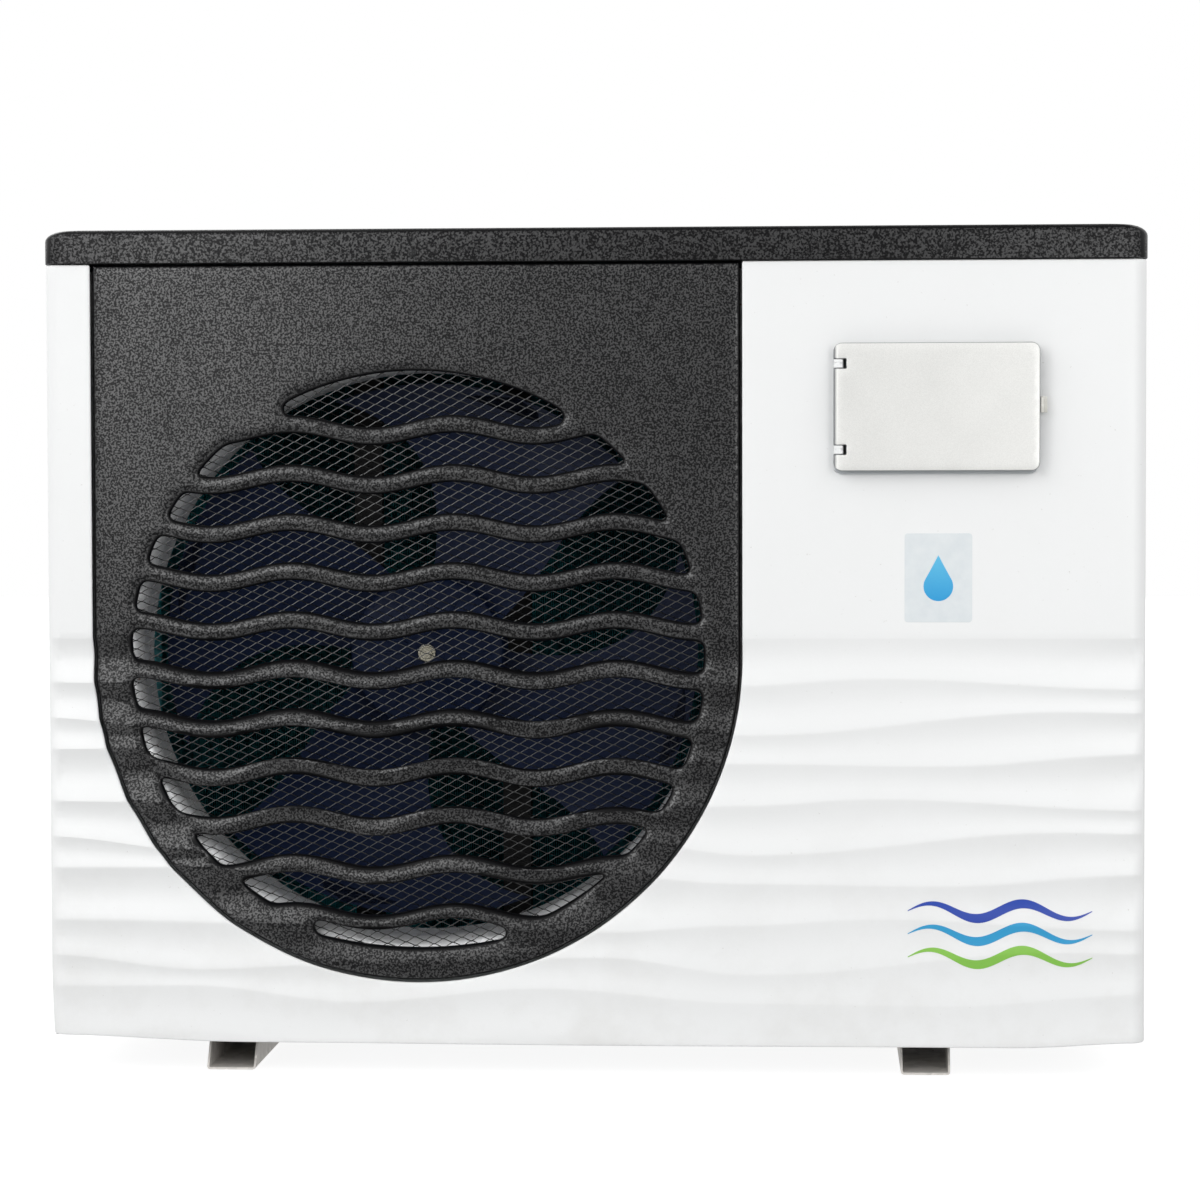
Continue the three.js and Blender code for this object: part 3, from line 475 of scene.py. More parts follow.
class Finish:
    """A procedural material, built round its Principled shader."""

    def __init__(self, name, roughness=0.5, metallic=0.0):
        self.material = bpy.data.materials.new(name)
        self.material.use_nodes = True
        self.tree = self.material.node_tree
        self.shader = self.tree.nodes["Principled BSDF"]
        self.shader.inputs["Roughness"].default_value = roughness
        self.shader.inputs["Metallic"].default_value = metallic
        self.place = self.add("ShaderNodeTexCoord").outputs["Object"]

    def add(self, kind, **settings):
        node = self.tree.nodes.new(kind)
        for key, value in settings.items():
            setattr(node, key, value)
        return node

    def feed(self, socket, value):
        if isinstance(value, bpy.types.NodeSocket):
            self.tree.links.new(value, socket)
        else:
            socket.default_value = value

    def stretched(self, scale):
        node = self.add("ShaderNodeMapping")
        self.feed(node.inputs["Vector"], self.place)
        node.inputs["Scale"].default_value = scale
        return node.outputs["Vector"]

    def noise(self, scale, detail=3, roughness=0.55, stretch=None):
        node = self.add("ShaderNodeTexNoise")
        self.feed(node.inputs["Vector"], self.stretched(stretch) if stretch else self.place)
        node.inputs["Scale"].default_value = scale
        node.inputs["Detail"].default_value = detail
        node.inputs["Roughness"].default_value = roughness
        return node.outputs["Fac"]

    def cells(self, scale, feature="F1", output="Distance"):
        node = self.add("ShaderNodeTexVoronoi", feature=feature)
        self.feed(node.inputs["Vector"], self.place)
        node.inputs["Scale"].default_value = scale
        return node.outputs[output]

    def part(self, vector, axis):
        node = self.add("ShaderNodeSeparateXYZ")
        self.feed(node.inputs["Vector"], vector)
        return node.outputs[axis]

    def height(self):
        return self.part(self.place, "Z")

    def facing(self, axes):
        """1 on faces square to an axis, and less on the rolled edges between."""
        normal = self.add("ShaderNodeNewGeometry").outputs["Normal"]
        largest = 0
        for axis in axes:
            size = self.maths(self.part(normal, axis), 0, "ABSOLUTE")
            largest = self.maths(largest, size, "MAXIMUM")
        return largest

    def fit(self, value, low, high, to_low, to_high):
        node = self.add("ShaderNodeMapRange")
        for socket, item in zip(node.inputs, (value, low, high, to_low, to_high)):
            self.feed(socket, item)
        return node.outputs["Result"]

    def maths(self, a, b, operation="MULTIPLY"):
        node = self.add("ShaderNodeMath", operation=operation)
        self.feed(node.inputs[0], a)
        self.feed(node.inputs[1], b)
        return node.outputs["Value"]

    def mix(self, factor, a, b):
        node = self.add("ShaderNodeMix", data_type="RGBA")
        self.feed(node.inputs["Factor"], factor)
        self.feed(node.inputs["A"], a)
        self.feed(node.inputs["B"], b)
        return node.outputs["Result"]

    def bump(self, height, depth, strength=1.0):
        node = self.add("ShaderNodeBump")
        self.feed(node.inputs["Height"], height)
        node.inputs["Distance"].default_value = depth * MM
        node.inputs["Strength"].default_value = strength
        return node.outputs["Normal"]

    def paint(self, colour=None, roughness=None, normal=None):
        for name, value in (("Base Color", colour), ("Roughness", roughness), ("Normal", normal)):
            if value is not None:
                self.feed(self.shader.inputs[name], value)
        return self.material


def rgb(value, gain=1.0):
    """An sRGB colour such as 0xd9dad8 as a linear one."""
    channels = [(value >> shift & 255) / 255 for shift in (16, 8, 0)]
    linear = [c / 12.92 if c <= 0.04045 else ((c + 0.055) / 1.055) ** 2.4 for c in channels]
    return (*[c * gain for c in linear], 1)


def moulded(name, colour, mottling, roughness, grain, depth, shine=0.5):
    """Moulded plastic: a fine grain, faint mottling, and roughness that wanders."""
    finish = Finish(name, roughness)
    finish.shader.inputs["Specular IOR Level"].default_value = shine
    patches = finish.noise(9, 4)
    grit = finish.noise(grain, 2, 0.6)
    blend = finish.fit(finish.noise(55, 4), 0.35, 0.75, 0, 0.3)
    rough = finish.fit(patches, 0.3, 0.7, roughness - 0.05, roughness + 0.06)
    tone = finish.mix(blend, rgb(colour), rgb(mottling))
    return finish.paint(tone, rough, finish.bump(grit, depth))


def white_abs():
    """White ABS of the casing: orange peel, faint scuffs, and greyer patches that grow towards the
    bottom.
    """
    finish = Finish("white_abs", 0.4)
    peel = finish.noise(420, 2, 0.5)
    # greyer patches, strongest at the ground and gone above 0.3 m
    dust = finish.fit(finish.height(), 0.03, 0.3, 0.5, 0.05)
    patch = finish.maths(dust, finish.fit(finish.noise(14, 6, 0.65), 0.45, 0.8, 0, 0.6))
    specks = finish.fit(finish.noise(300, 2, 0.5), 0.74, 0.8, 0, 0.35)
    clean = finish.mix(patch, rgb(0xEDEEEE), rgb(0xC9C7C2))
    scuffs = finish.noise(40, 5, 0.7, stretch=(6, 6, 0.6))
    rough = finish.fit(scuffs, 0.4, 0.72, 0.36, 0.5)
    colour = finish.mix(specks, clean, rgb(0xA9A59C))
    return finish.paint(colour, rough, finish.bump(peel, 0.12, 0.35))


def dark_abs(name="dark_abs", axes="XYZ", shine=0.65):
    """Charcoal ABS: a coarse sand grain that sparkles; the rolled edges get painted shade, black and
    less glossy.
    """
    finish = Finish(name)
    # 1 on faces square to the axes, 0 on the rolled edges: it keeps the grain to the faces and paints
    # the edges as shade
    grain = finish.fit(finish.facing(axes), 0.78, 0.88, 0, 1)
    pebbles = finish.maths(finish.cells(460, "SMOOTH_F1"), finish.noise(620, 2, 0.6), "ADD")
    # light speckles on the faces are the grain's own tone; where the mask is 0 it leaves painted
    # shade on the rolled edges
    speckle_and_edge_shade = finish.maths(finish.fit(finish.noise(540, 1, 0.5), 0.44, 0.6, 0, 1), grain)
    wear = finish.fit(finish.noise(12, 4, 0.6), 0.4, 0.75, 0.33, 0.41)
    gloss = finish.fit(speckle_and_edge_shade, 0, 1, 0.25 * shine, shine)
    finish.feed(finish.shader.inputs["Specular IOR Level"], gloss)
    # black where the mask is 0: painted shade on the rolled edges
    colour = finish.mix(speckle_and_edge_shade, rgb(0x08080A), rgb(0x2A2A2B))
    return finish.paint(colour, wear, finish.bump(finish.maths(pebbles, grain), 0.12))


def silver_abs():
    """Silver lacquer on plastic: fine flake under a soft gloss, and painted shade in dark grey on the
    rolled edges and sides.
    """
    finish = Finish("silver_abs", 0.36, 0.25)
    flake = finish.noise(1500, 2, 0.7)
    face = finish.mix(finish.fit(flake, 0.35, 0.7, 0, 1), rgb(0xE2E2DF), rgb(0xF0F0ED))
    # faces that don't face the front are painted dark grey: painted shade on the door's rolled edges
    # and sides
    tone = finish.mix(finish.fit(finish.facing("Y"), 0.6, 0.96, 0, 1), rgb(0x797B7E), face)
    rough = finish.fit(finish.noise(30, 4), 0.3, 0.7, 0.32, 0.42)
    return finish.paint(tone, rough, finish.bump(flake, 0.05, 0.3))


def galvanised(name="galvanised", tint=0xB9BCBD, dirt=0.35, metallic=0.7):
    """Zinc-coated sheet: crystal spangle, dull patches, grime and a few rust specks."""
    finish = Finish(name, 0.4, metallic)
    spangle = finish.cells(95, output="Color")
    cell = finish.fit(spangle, 0, 1, 0, 1)
    tone = finish.mix(cell, rgb(tint), rgb(tint, 0.72))
    grime = finish.fit(finish.noise(34, 6, 0.7), 0.5, 0.78, 0, dirt)
    dirty = finish.mix(grime, tone, rgb(0x77706A))
    rust = finish.fit(finish.noise(120, 3, 0.6), 0.69, 0.74, 0, 0.8)
    rough = finish.fit(cell, 0, 1, 0.3, 0.5)
    return finish.paint(finish.mix(rust, dirty, rgb(0x6B4A3A)), rough, finish.bump(cell, 0.05, 0.4))


def bare_metal(name, colour, roughness):
    """Drawn or turned metal: fine lines along the piece and a little tarnish."""
    finish = Finish(name, roughness, 1.0)
    lines = finish.noise(60, 4, 0.6, stretch=(1, 1, 12))
    tarnish = finish.fit(finish.noise(26, 5, 0.6), 0.45, 0.75, 0, 0.6)
    tone = finish.mix(tarnish, rgb(colour), rgb(colour, 0.55))
    rough = finish.fit(lines, 0.3, 0.7, roughness - 0.06, roughness + 0.12)
    return finish.paint(tone, rough, finish.bump(lines, 0.06, 0.5))


def painted(name, colour, roughness, scale=240, depth=0.12, shine=0.5):
    """Paint on metal: orange peel, and thin dust of a lighter tone."""
    finish = Finish(name, roughness)
    finish.shader.inputs["Specular IOR Level"].default_value = shine
    peel = finish.noise(scale, 2, 0.5)
    dust = finish.fit(finish.noise(30, 5, 0.65), 0.45, 0.8, 0, 0.15)
    tone = finish.mix(dust, rgb(colour), rgb(0x6C6A66, 0.6))
    rough = finish.fit(dust, 0, 0.4, roughness, roughness + 0.2)
    return finish.paint(tone, rough, finish.bump(peel, depth, 0.5))


def coated_fins():
    """Aluminium fins with a blue-green coating in streaks of two tones."""
    finish = Finish("blue_fins", 0.35, 0.2)
    streaks = finish.noise(40, 4, 0.6, stretch=(3, 3, 0.25))
    tone = finish.mix(finish.fit(streaks, 0.35, 0.7, 0, 1), rgb(0x178791), rgb(0x35B0B9))
    rough = finish.fit(streaks, 0.3, 0.7, 0.3, 0.45)
    return finish.paint(tone, rough, finish.bump(finish.noise(900, 2), 0.05, 0.3))


def clear_plastic():
    """Milky plastic of the latch tab, with flow marks."""
    finish = Finish("clear_plastic", 0.25)
    flow = finish.noise(60, 4, 0.5, stretch=(1, 1, 4))
    tone = finish.mix(finish.fit(flow, 0.3, 0.7, 0, 1), rgb(0xF6F5EF), rgb(0xE4E3DA))
    finish.shader.inputs["Transmission Weight"].default_value = 0.25
    return finish.paint(tone, None, finish.bump(flow, 0.05, 0.3))


def film():
    """Clear sticker film, slightly milky, with a smooth gloss."""
    finish = Finish("sticker_film", 0.22)
    haze = finish.noise(90, 3, 0.5)
    tone = finish.mix(finish.fit(haze, 0.3, 0.7, 0, 1), rgb(0xDBE1E4), rgb(0xE2E7E9))
    return finish.paint(tone, None, finish.bump(haze, 0.03, 0.3))


def ink(name, low, high, bottom, top):
    """Printed ink that shades from one colour to another with height."""
    finish = Finish(name, 0.3)
    blend = finish.fit(finish.height(), bottom * MM, top * MM, 0, 1)
    grain = finish.bump(finish.noise(800, 2), 0.02, 0.3)
    return finish.paint(finish.mix(blend, rgb(low), rgb(high)), None, grain)


MOULDED = {  # colour, mottling, roughness, scale and depth of the grain
    "control_grey": (0xB4B8BB, 0x9DA2A6, 0.42, 900, 0.05),
    "display_glass": (0x090C11, 0x10141B, 0.12, 300, 0.01),
    "key_rubber": (0x4B5157, 0x3C4146, 0.62, 1400, 0.06),
    "fan_plastic": (0x0C1A36, 0x071024, 0.42, 700, 0.06, 0.15),
    "rubber": (0x1C1C1C, 0x2A2928, 0.82, 900, 0.12),
    "black_pvc": (0x1D1F22, 0x2A2C2F, 0.42, 800, 0.06),
    "board_green": (0x1D6A3C, 0x154F2D, 0.4, 500, 0.05),
    "terminal": (0xE6E2D3, 0xD2CDBB, 0.5, 700, 0.06),
}
METALS = {  # colour and roughness
    "zinc": (0xD2CDBB, 0.24),
    "steel": (0x9A9DA0, 0.28),
    "titanium": (0x9C9690, 0.3),
    "copper": (0xC07A4E, 0.26),
    "brass": (0xC6A85A, 0.28),
    "aluminium": (0xC8CBCE, 0.3),
}
MATERIALS = {
    "white_abs": white_abs(),
    "dark_abs": dark_abs(),
    "silver_abs": silver_abs(),
    "clear_plastic": clear_plastic(),
    "galvanised": galvanised(),
    "blue_fins": coated_fins(),
    "black_mesh": painted("black_mesh", 0x0B0C0D, 0.26, 500, 0.03, 0.75),
    "motor_paint": painted("motor_paint", 0x0C0D0F, 0.5, 240, 0.12, 0.3),
    "black_paint": painted("black_paint", 0x141517, 0.36),
    **{name: moulded(name, *row) for name, row in MOULDED.items()},
    **{name: bare_metal(name, *row) for name, row in METALS.items()},
}
# the grille's copy counts only faces towards the front, so the rolls of its bars and slots get
# painted shade
GRILLE_ABS = dark_abs("grille_abs", "Y", 1)
# near-white, barely metallic zinc for the feet: painted light, standing in for light bounced up from
# the floor into the channels
FOOT_ZINC_PAINTED_LIGHT = galvanised("foot_zinc_painted_light", 0xF2EDE7, 0.35, 0.1)
# near-white zinc for the fan ring, lighter than the galvanised sheet: painted light for the ring's
# bright reflections
RING_ZINC_PAINTED_LIGHT = galvanised("ring_zinc_painted_light", 0xF2F3F4, 0.2, 0.4)


# ---- front panel

FLAT_HALF = HALF - CORNER
CORNER_ARC = CORNER * math.pi / 2
EDGE_U = FLAT_HALF + CORNER_ARC + RETURN - CORNER  # the sheet's half-width, laid out flat
BOTTOM_EDGE = [(-524, 36), (-330, 30), (0, 29), (400, 29.5), (524, 35)]
TUCK_DEPTH = 4.5  # how far the lower left corner draws in
TUCK_HEIGHT = 125
TUCK_REACH = 60


def wrapped(u, depth):
    """The place and inward depth of the sheet at u, bent round the vertical corners."""
    side = np.sign(u)
    past = np.clip(np.abs(u) - FLAT_HALF, 0, None)
    angle = np.clip(past / CORNER, 0, math.pi / 2)
    along = np.clip(past - CORNER_ARC, 0, None)
    x = side * (np.minimum(np.abs(u), FLAT_HALF) + CORNER * np.sin(angle))
    y = CORNER * (1 - np.cos(angle)) + along
    return x - side * depth * np.sin(angle), y + depth * np.cos(angle)


def tucked(x, z):
    """X with the lower left corner drawn in."""
    low = np.clip(1 - z / TUCK_HEIGHT, 0, 1) ** 2
    near = np.clip(1 - (x + HALF) / TUCK_REACH, 0, 1)
    return x + TUCK_DEPTH * low * near


def front_panel():
    """The white front with its returns, the recess for the grille and the controller's hole."""
    bottom = [(u, float(eased(u, BOTTOM_EDGE))) for u in np.linspace(-HALF, HALF, 60)]
    recess = arc(GRILLE_X, GRILLE_Z, RECESS_RADIUS, 0, -180, 120)
    outline = [
        (-EDGE_U, PANEL_TOP), (-EDGE_U, 36), *bottom, (EDGE_U, 35), (EDGE_U, PANEL_TOP),
        (GRILLE_X + RECESS_RADIUS, PANEL_TOP), *recess, (GRILLE_X - RECESS_RADIUS, PANEL_TOP),
    ]
    low, high = span("controller_base")
    hole = rounded(low.x + 1.7, low.z + 1.7, high.x - 10.2, high.z - 1.7, 2)
    loops = [resampled(outline, 2.6), resampled(hole, 2.6)]

    def front(u, z, drop):
        x, y = wrapped(u, drop + relief(u, z))
        return np.column_stack([tucked(x, z), y, z])

    def back(u, z):
        x, y = wrapped(u, SKIN + relief(u, z))
        return np.column_stack([tucked(x, z), y, z])

    grid = np.vstack([
        relief_grid(-RELIEF_EDGE - 1, RELIEF_EDGE + 1, 3.2),
        lattice(-FLAT_HALF, FLAT_HALF, RELIEF_START + 6, PANEL_TOP, 9),
        lattice(-FLAT_HALF, FLAT_HALF, 24, 37, 6),
        corner_grid(),
    ])
    shape = Shape()
    sheet(shape, loops, 1.6, grid, lattice(-EDGE_U, EDGE_U, 24, PANEL_TOP, 8), front, back)
    make("front_shell", shape, "white_abs", stands_for="front_panel")


def corner_grid():
    """Close columns of points round the vertical corners, and sparse ones down the returns."""
    columns = [*np.arange(FLAT_HALF + 1, FLAT_HALF + CORNER_ARC + 2, 2.2)]
    columns += [FLAT_HALF + CORNER_ARC + 8, FLAT_HALF + CORNER_ARC + 16]
    heights = np.arange(24, PANEL_TOP, 6)
    points = [(side * u, z) for side in (-1, 1) for u in columns for z in heights]
    return np.array(points)


# ---- grille panel

def bar_middle(index, x):
    """Height of the middle of a wavy bar at x."""
    return BAR_TOP - index * BAR_PITCH + BAR_SWING * np.cos(2 * np.pi * (x - BAR_CREST) / BAR_WAVE)


def slot_outline(index):
    """Slot number index, between two wavy bars and inside the round field."""
    x = np.linspace(-FIELD_RADIUS, FIELD_RADIUS, 1200) + GRILLE_X
    rise = np.sqrt(np.clip(FIELD_RADIUS**2 - (x - GRILLE_X) ** 2, 0, None))
    upper = FIELD_Z + rise
    lower = FIELD_Z - rise
    if index > 0:
        upper = np.minimum(upper, bar_middle(index - 1, x) - BAR_THICKNESS / 2)
    if index < BAR_COUNT:
        lower = np.maximum(lower, bar_middle(index, x) + BAR_THICKNESS / 2)
    tip = 0.5
    if index == 0:
        tip = BLUNT_TIP
    if index == BAR_COUNT:
        upper = upper + LAST_SLOT_LIFT
        flat_arc = np.sqrt(LAST_SLOT_RADIUS**2 - (x - GRILLE_X) ** 2)
        lower = FIELD_Z - FIELD_RADIUS - LAST_SLOT_DROP + LAST_SLOT_RADIUS - flat_arc
        tip = upper.max() * (abs(x - LAST_SLOT_MIDDLE) > LAST_SLOT_HALF)
    inside = upper > lower + tip
    top = np.column_stack([x[inside], upper[inside]])
    bottom = np.column_stack([x[inside], lower[inside]])
    loop = resampled(np.vstack([top, bottom[::-1]]), 1)
    return resampled(softened(loop, 60), 2.4)


def grille_panel():
    """The dark panel in the recess, with its wavy bars."""
    top = PANEL_TOP - 0.5
    outline = [
        (GRILLE_X - GRILLE_RADIUS, top),
        *arc(GRILLE_X, GRILLE_Z, GRILLE_RADIUS, 180, 360, 140),
        (GRILLE_X + GRILLE_RADIUS, top),
    ]
    loops = [resampled(outline, 2.6), *[slot_outline(i) for i in range(BAR_COUNT + 1)]]

    def front(x, z, drop):
        return np.column_stack([x, GRILLE_FRONT + relief(x, z) + drop, z])

    def back(x, z):
        return np.column_stack([x, GRILLE_FRONT + relief(x, z) + GRILLE_DEPTH, z])

    x0, x1 = GRILLE_X - GRILLE_RADIUS, GRILLE_X + GRILLE_RADIUS
    grid = np.vstack([
        relief_grid(x0, x1, 3.2),
        lattice(x0, x1, RELIEF_START + 6, top, 7),
        lattice(x0, x1, 30, 80, 7),
    ])
    shape = Shape()
    rolls = [4, *[BAR_ROLL] * (BAR_COUNT + 1)]
    sheet(shape, loops, rolls, grid, lattice(x0, x1, 30, top, 8), front, back)
    make("grille_face", shape, "dark_abs", stands_for="grille_panel", material=GRILLE_ABS)


# ---- guard net

NET_RADIUS = 291
NET_PITCH = 4.1  # half the height of a diamond
NET_WIDTH = 18
NET_TURN = math.radians(5)
STRAND_WIDTH = 0.82
STRAND_THICKNESS = 0.5
STRAND_TILTS = math.radians(20), math.radians(-35)  # of the strands that rise and those that fall
KNUCKLE = 1.1  # half-length of a bond between two strands


def net_row(row):
    """One zigzag strand of the expanded metal, as points (along, up, tilt)."""
    base = row * NET_PITCH
    count = int(NET_RADIUS / NET_WIDTH) + 2
    points = []
    for i in range(-2 * count, 2 * count + 1):
        along = (i / 2 + (row % 2) / 2) * NET_WIDTH
        up = base + (i % 2) * (NET_PITCH - STRAND_WIDTH * 0.45)
        before, after = STRAND_TILTS[1 - i % 2], STRAND_TILTS[i % 2]
        points.extend([(along - KNUCKLE, up, before), (along + KNUCKLE, up, after)])
    return [p for p in points if math.hypot(p[0], p[1]) < NET_RADIUS]


def strand_section(tilt):
    """Corners of a strand's flat section, leaning back by the tilt."""
    across = Vector((0, math.sin(tilt), math.cos(tilt))) * STRAND_WIDTH / 2
    through = Vector((0, math.cos(tilt), -math.sin(tilt))) * STRAND_THICKNESS / 2
    return [across + through, through - across, -across - through, across - through]


def guard_net():
    """Expanded metal: zigzag strands, bonded where they meet, and turned a little."""
    low, high = span("guard_mesh")
    turn = Matrix.Rotation(-NET_TURN, 3, "Y")
    centre = Vector((GRILLE_X, (low.y + high.y) / 2, FIELD_Z))
    rows = int(NET_RADIUS / NET_PITCH)
    shape = Shape()
    for row in range(-rows - 1, rows + 1):
        path = [(centre + turn @ Vector((a, 0, b)), tilt) for a, b, tilt in net_row(row)]
        if len(path) > 3:
            shape.loft([[place + c for c in strand_section(tilt)] for place, tilt in path])
    make("guard_net", shape, "black_mesh", stands_for="guard_mesh", sharp=60)


# ---- lid

def lid():
    """A shell whose top falls away towards its edges, most at the left and right ends."""
    low, high = span("top_lid")
    radius = 18
    side_inset, side_drop = 20, 11
    front_inset, front_drop = 7, 6
    foot_line = np.array(rounded(low.x, low.y, high.x, high.y, radius, 10))
    end_on = np.abs((inset(foot_line, -1) - foot_line)[:, 0]) ** 2

    def ring(angle, extra=0.0, height=None):
        a = math.radians(angle)
        dx = side_inset * (1 - math.cos(a)) + extra
        dy = front_inset * (1 - math.cos(a)) + extra
        spots = rounded(low.x + dx, low.y + dy, high.x - dx, high.y - dy, radius, 10)
        fall = (front_drop + (side_drop - front_drop) * end_on) * (1 - math.sin(a))
        z = high.z - fall if height is None else np.full(len(spots), height)
        return [(x, y, h) for (x, y), h in zip(spots, z)]

    rings = [
        ring(0, SKIN, high.z - 14),
        ring(0, SKIN, low.z),
        ring(0, 0.8, low.z),
        ring(0, 0, low.z + 0.8),
        *[ring(angle) for angle in (0, 12, 25, 40, 55, 70, 90)],
        ring(90, 8),
    ]
    shape = Shape()
    shape.loft(rings)
    make("lid_shell", shape, "dark_abs", stands_for="top_lid", sharp=40)


# ---- screws

def cross_head(shape, centre, out, radius, height):
    """A pan head with a cross recess. out is the unit direction that it faces."""
    centre, out = Vector(centre), Vector(out)
    u, v = square_to(out)
    slot_half, slot_reach, slot_depth = 0.13 * radius, 0.6 * radius, 0.55 * height
    rings = []
    for r in np.linspace(0.06, 1, 14) * radius:
        dome = height * math.sqrt(max(1 - (r / radius) ** 4, 0))
        ring = []
        for angle in np.radians(np.arange(0, 360, 7.5)):
            a, b = r * math.cos(angle), r * math.sin(angle)
            sunk = slot_depth if min(abs(a), abs(b)) < slot_half and r < slot_reach else 0
            ring.append(centre + u * a + v * b + out * (dome - sunk))
        rings.append(ring)
    rings.append([p - out * 1.5 for p in rings[-1]])
    shape.loft(rings)


def hex_head(shape, centre, out, size=4):
    """A flanged hexagon head."""
    centre, out = Vector(centre), Vector(out)
    u, v = square_to(out)

    def ring(r, sides, height, turn=0.0):
        angles = np.radians(np.arange(sides) * 360 / sides + turn)
        return [centre + u * r * math.cos(a) + v * r * math.sin(a) + out * height for a in angles]

    shape.loft([ring(size * 1.35, 24, h) for h in (-1.0, 0.5)] + [ring(size * 1.1, 24, 1.0)])
    shape.loft([ring(size, 6, 0.6), ring(size, 6, 3.4), ring(size * 0.86, 6, 3.9)])


def lid_screws():
    for name in ("left", "right"):
        node = f"lid_screw_{name}"
        low, high = span(node)
        x, z = middle(node, "xz")
        shape = Shape()
        cross_head(shape, (x, low.y + 1.6, z), (0, -1, 0), 3.9, 1.6)
        shape.turned("Y", [(0, 0), (1.9, 0), (1.9, high.y - 1), (0, high.y)], x, z, 16)
        make(f"lid_fixing_{name}", shape, "black_paint", stands_for=node)


# ---- feet

FOOT_RAKE = 20  # how far the cut end of a foot leans back
FOOT_WALL = 2


def mirrored(line):
    return [(-x, z) for x, z in line[::-1]]


def foot(side):
    """A channel foot with rolled lips, cut at a rake at both ends."""
    low, high = span(f"foot_{side}")
    outer, inner = 3.2, 1.2
    half = (high.x - low.x) / 2
    middle = (high.x + low.x) / 2
    left = [
        (-half, high.z), (-half, outer), *arc(-half + outer, outer, outer, 180, 270, 4)[1:-1],
        (-half + outer, 0),
    ]
    inside = [
        (-half + FOOT_WALL + inner, FOOT_WALL),
        *arc(-half + FOOT_WALL + inner, FOOT_WALL + inner, inner, 270, 180, 3)[1:-1],
        (-half + FOOT_WALL, FOOT_WALL + inner), (-half + FOOT_WALL, high.z),
    ]
    # the walk goes down the left flange, over to the right one, and back along the inside
    section = [*left, *mirrored(left), *mirrored(inside), *inside]
    chamfer = 4

    def ring(end, direction):
        points = []
        for x, z in section:
            back = FOOT_RAKE * (z / high.z) + max(0, z - (high.z - chamfer))
            points.append((middle + x, end + direction * back, z))
        return points

    shape = Shape()
    shape.loft([ring(low.y, 1), ring(high.y, -1)])
    # the feet take the near-white zinc, painted light for the floor's bounce
    make(f"channel_{side}", shape, "galvanised", stands_for=f"foot_{side}", material=FOOT_ZINC_PAINTED_LIGHT)


# ---- fan side

def shroud():
    """The fan ring, with its mouth rolled out to a flange."""
    wall, bend = 1.2, 16
    front, rear = SHROUD_LOW.y, SHROUD_HIGH.y
    centre = (DUCT_RADIUS + bend, front + bend)

    def roll(radius):
        return arc(centre[0], centre[1], radius, 270, 180, 8)

    profile = [
        (DUCT_RADIUS + DUCT_FLANGE, front),
        *roll(bend),
        (DUCT_RADIUS, rear),
        (DUCT_RADIUS + wall, rear),
        *roll(bend - wall)[::-1],
        (DUCT_RADIUS + DUCT_FLANGE, front + wall),
    ]
    shape = Shape()
    shape.turned("Y", profile, FAN_X, FAN_Z, 120)
    # the ring takes the near-white zinc, painted light
    make("bell_mouth", shape, "galvanised", stands_for="fan_shroud", material=RING_ZINC_PAINTED_LIGHT)


def blade_lead(r):
    """Angle of a blade's leading edge at radius r, in degrees."""
    return 87.5 + 20 * ((r - 115) / 135) ** 2


def blade_trail(r):
    """Angle of a blade's trailing edge at radius r, in degrees."""
    return 42 - 19 * ((225 - r) / 150) ** 2


def fan_blade(shape, turn):
    """A swept blade of even thickness, thinned towards both edges."""
    pitch, camber = 44, 7
    edge, belly = 0.35, 1.25  # half-thickness at the edges, and what the middle adds to it
    chords = np.linspace(0, 1, 15)
    rings = []
    for r in np.linspace(FAN_HUB - 3, FAN_TIP, 22):
        lead, trail = blade_lead(r), blade_trail(r)
        outward, inward = [], []
        for c in chords:
            angle = math.radians(trail + (lead - trail) * c + turn)
            y = FAN_FRONT + 8 + pitch * c + camber * math.sin(math.pi * c)
            half = edge + belly * math.sqrt(max(math.sin(math.pi * c), 0))
            x, z = FAN_X + r * math.cos(angle), FAN_Z + r * math.sin(angle)
            outward.append((x, y - half, z))
            inward.append((x, y + half, z))
        rings.append([*outward, *inward[::-1]])
    shape.loft(rings)


def fan_wheel():
    front = FAN_FRONT
    rear = front + 52
    shape = Shape()
    hub = [
        (3.4, front), (FAN_HUB - 9, front), (FAN_HUB - 5, front + 0.8), (FAN_HUB - 1.6, front + 3.4),
        (FAN_HUB, front + 8), (FAN_HUB, rear), (FAN_HUB - 3, rear), (FAN_HUB - 3, front + 7),
        (18, front + 3), (14, rear - 6), (6.3, rear - 6), (6.3, front + 3), (3.4, front + 3),
    ]
    shape.turned("Y", hub, FAN_X, FAN_Z, 72)
    ribs, rib_start, rib_end = 12, 20, 65
    for i in range(ribs):
        radial, side = spoke(2 * math.pi * i / ribs)
        ring = []
        for r in (rib_start, rib_start + 2, rib_end - 3, rib_end):
            height = 1.1 if rib_start < r < rib_end else -0.4
            base = Vector((FAN_X, front + 0.5, FAN_Z)) + radial * r
            top = Vector((FAN_X, front - height, FAN_Z)) + radial * r
            ring.append([base + side * 1.6, top + side * 0.7, top - side * 0.7, base - side * 1.6])
        shape.loft(ring)
    boss = [(10, front + 0.4), (10, front - 0.9), (13, front - 1.2), (16, front - 1.2),
            (17, front - 0.6), (17, front + 0.4)]
    shape.turned("Y", boss, FAN_X, FAN_Z, 48)
    for i in range(4):
        fan_blade(shape, -90 * i)
    make("fan_wheel", shape, "fan_plastic", "fan", "fan_rotor")


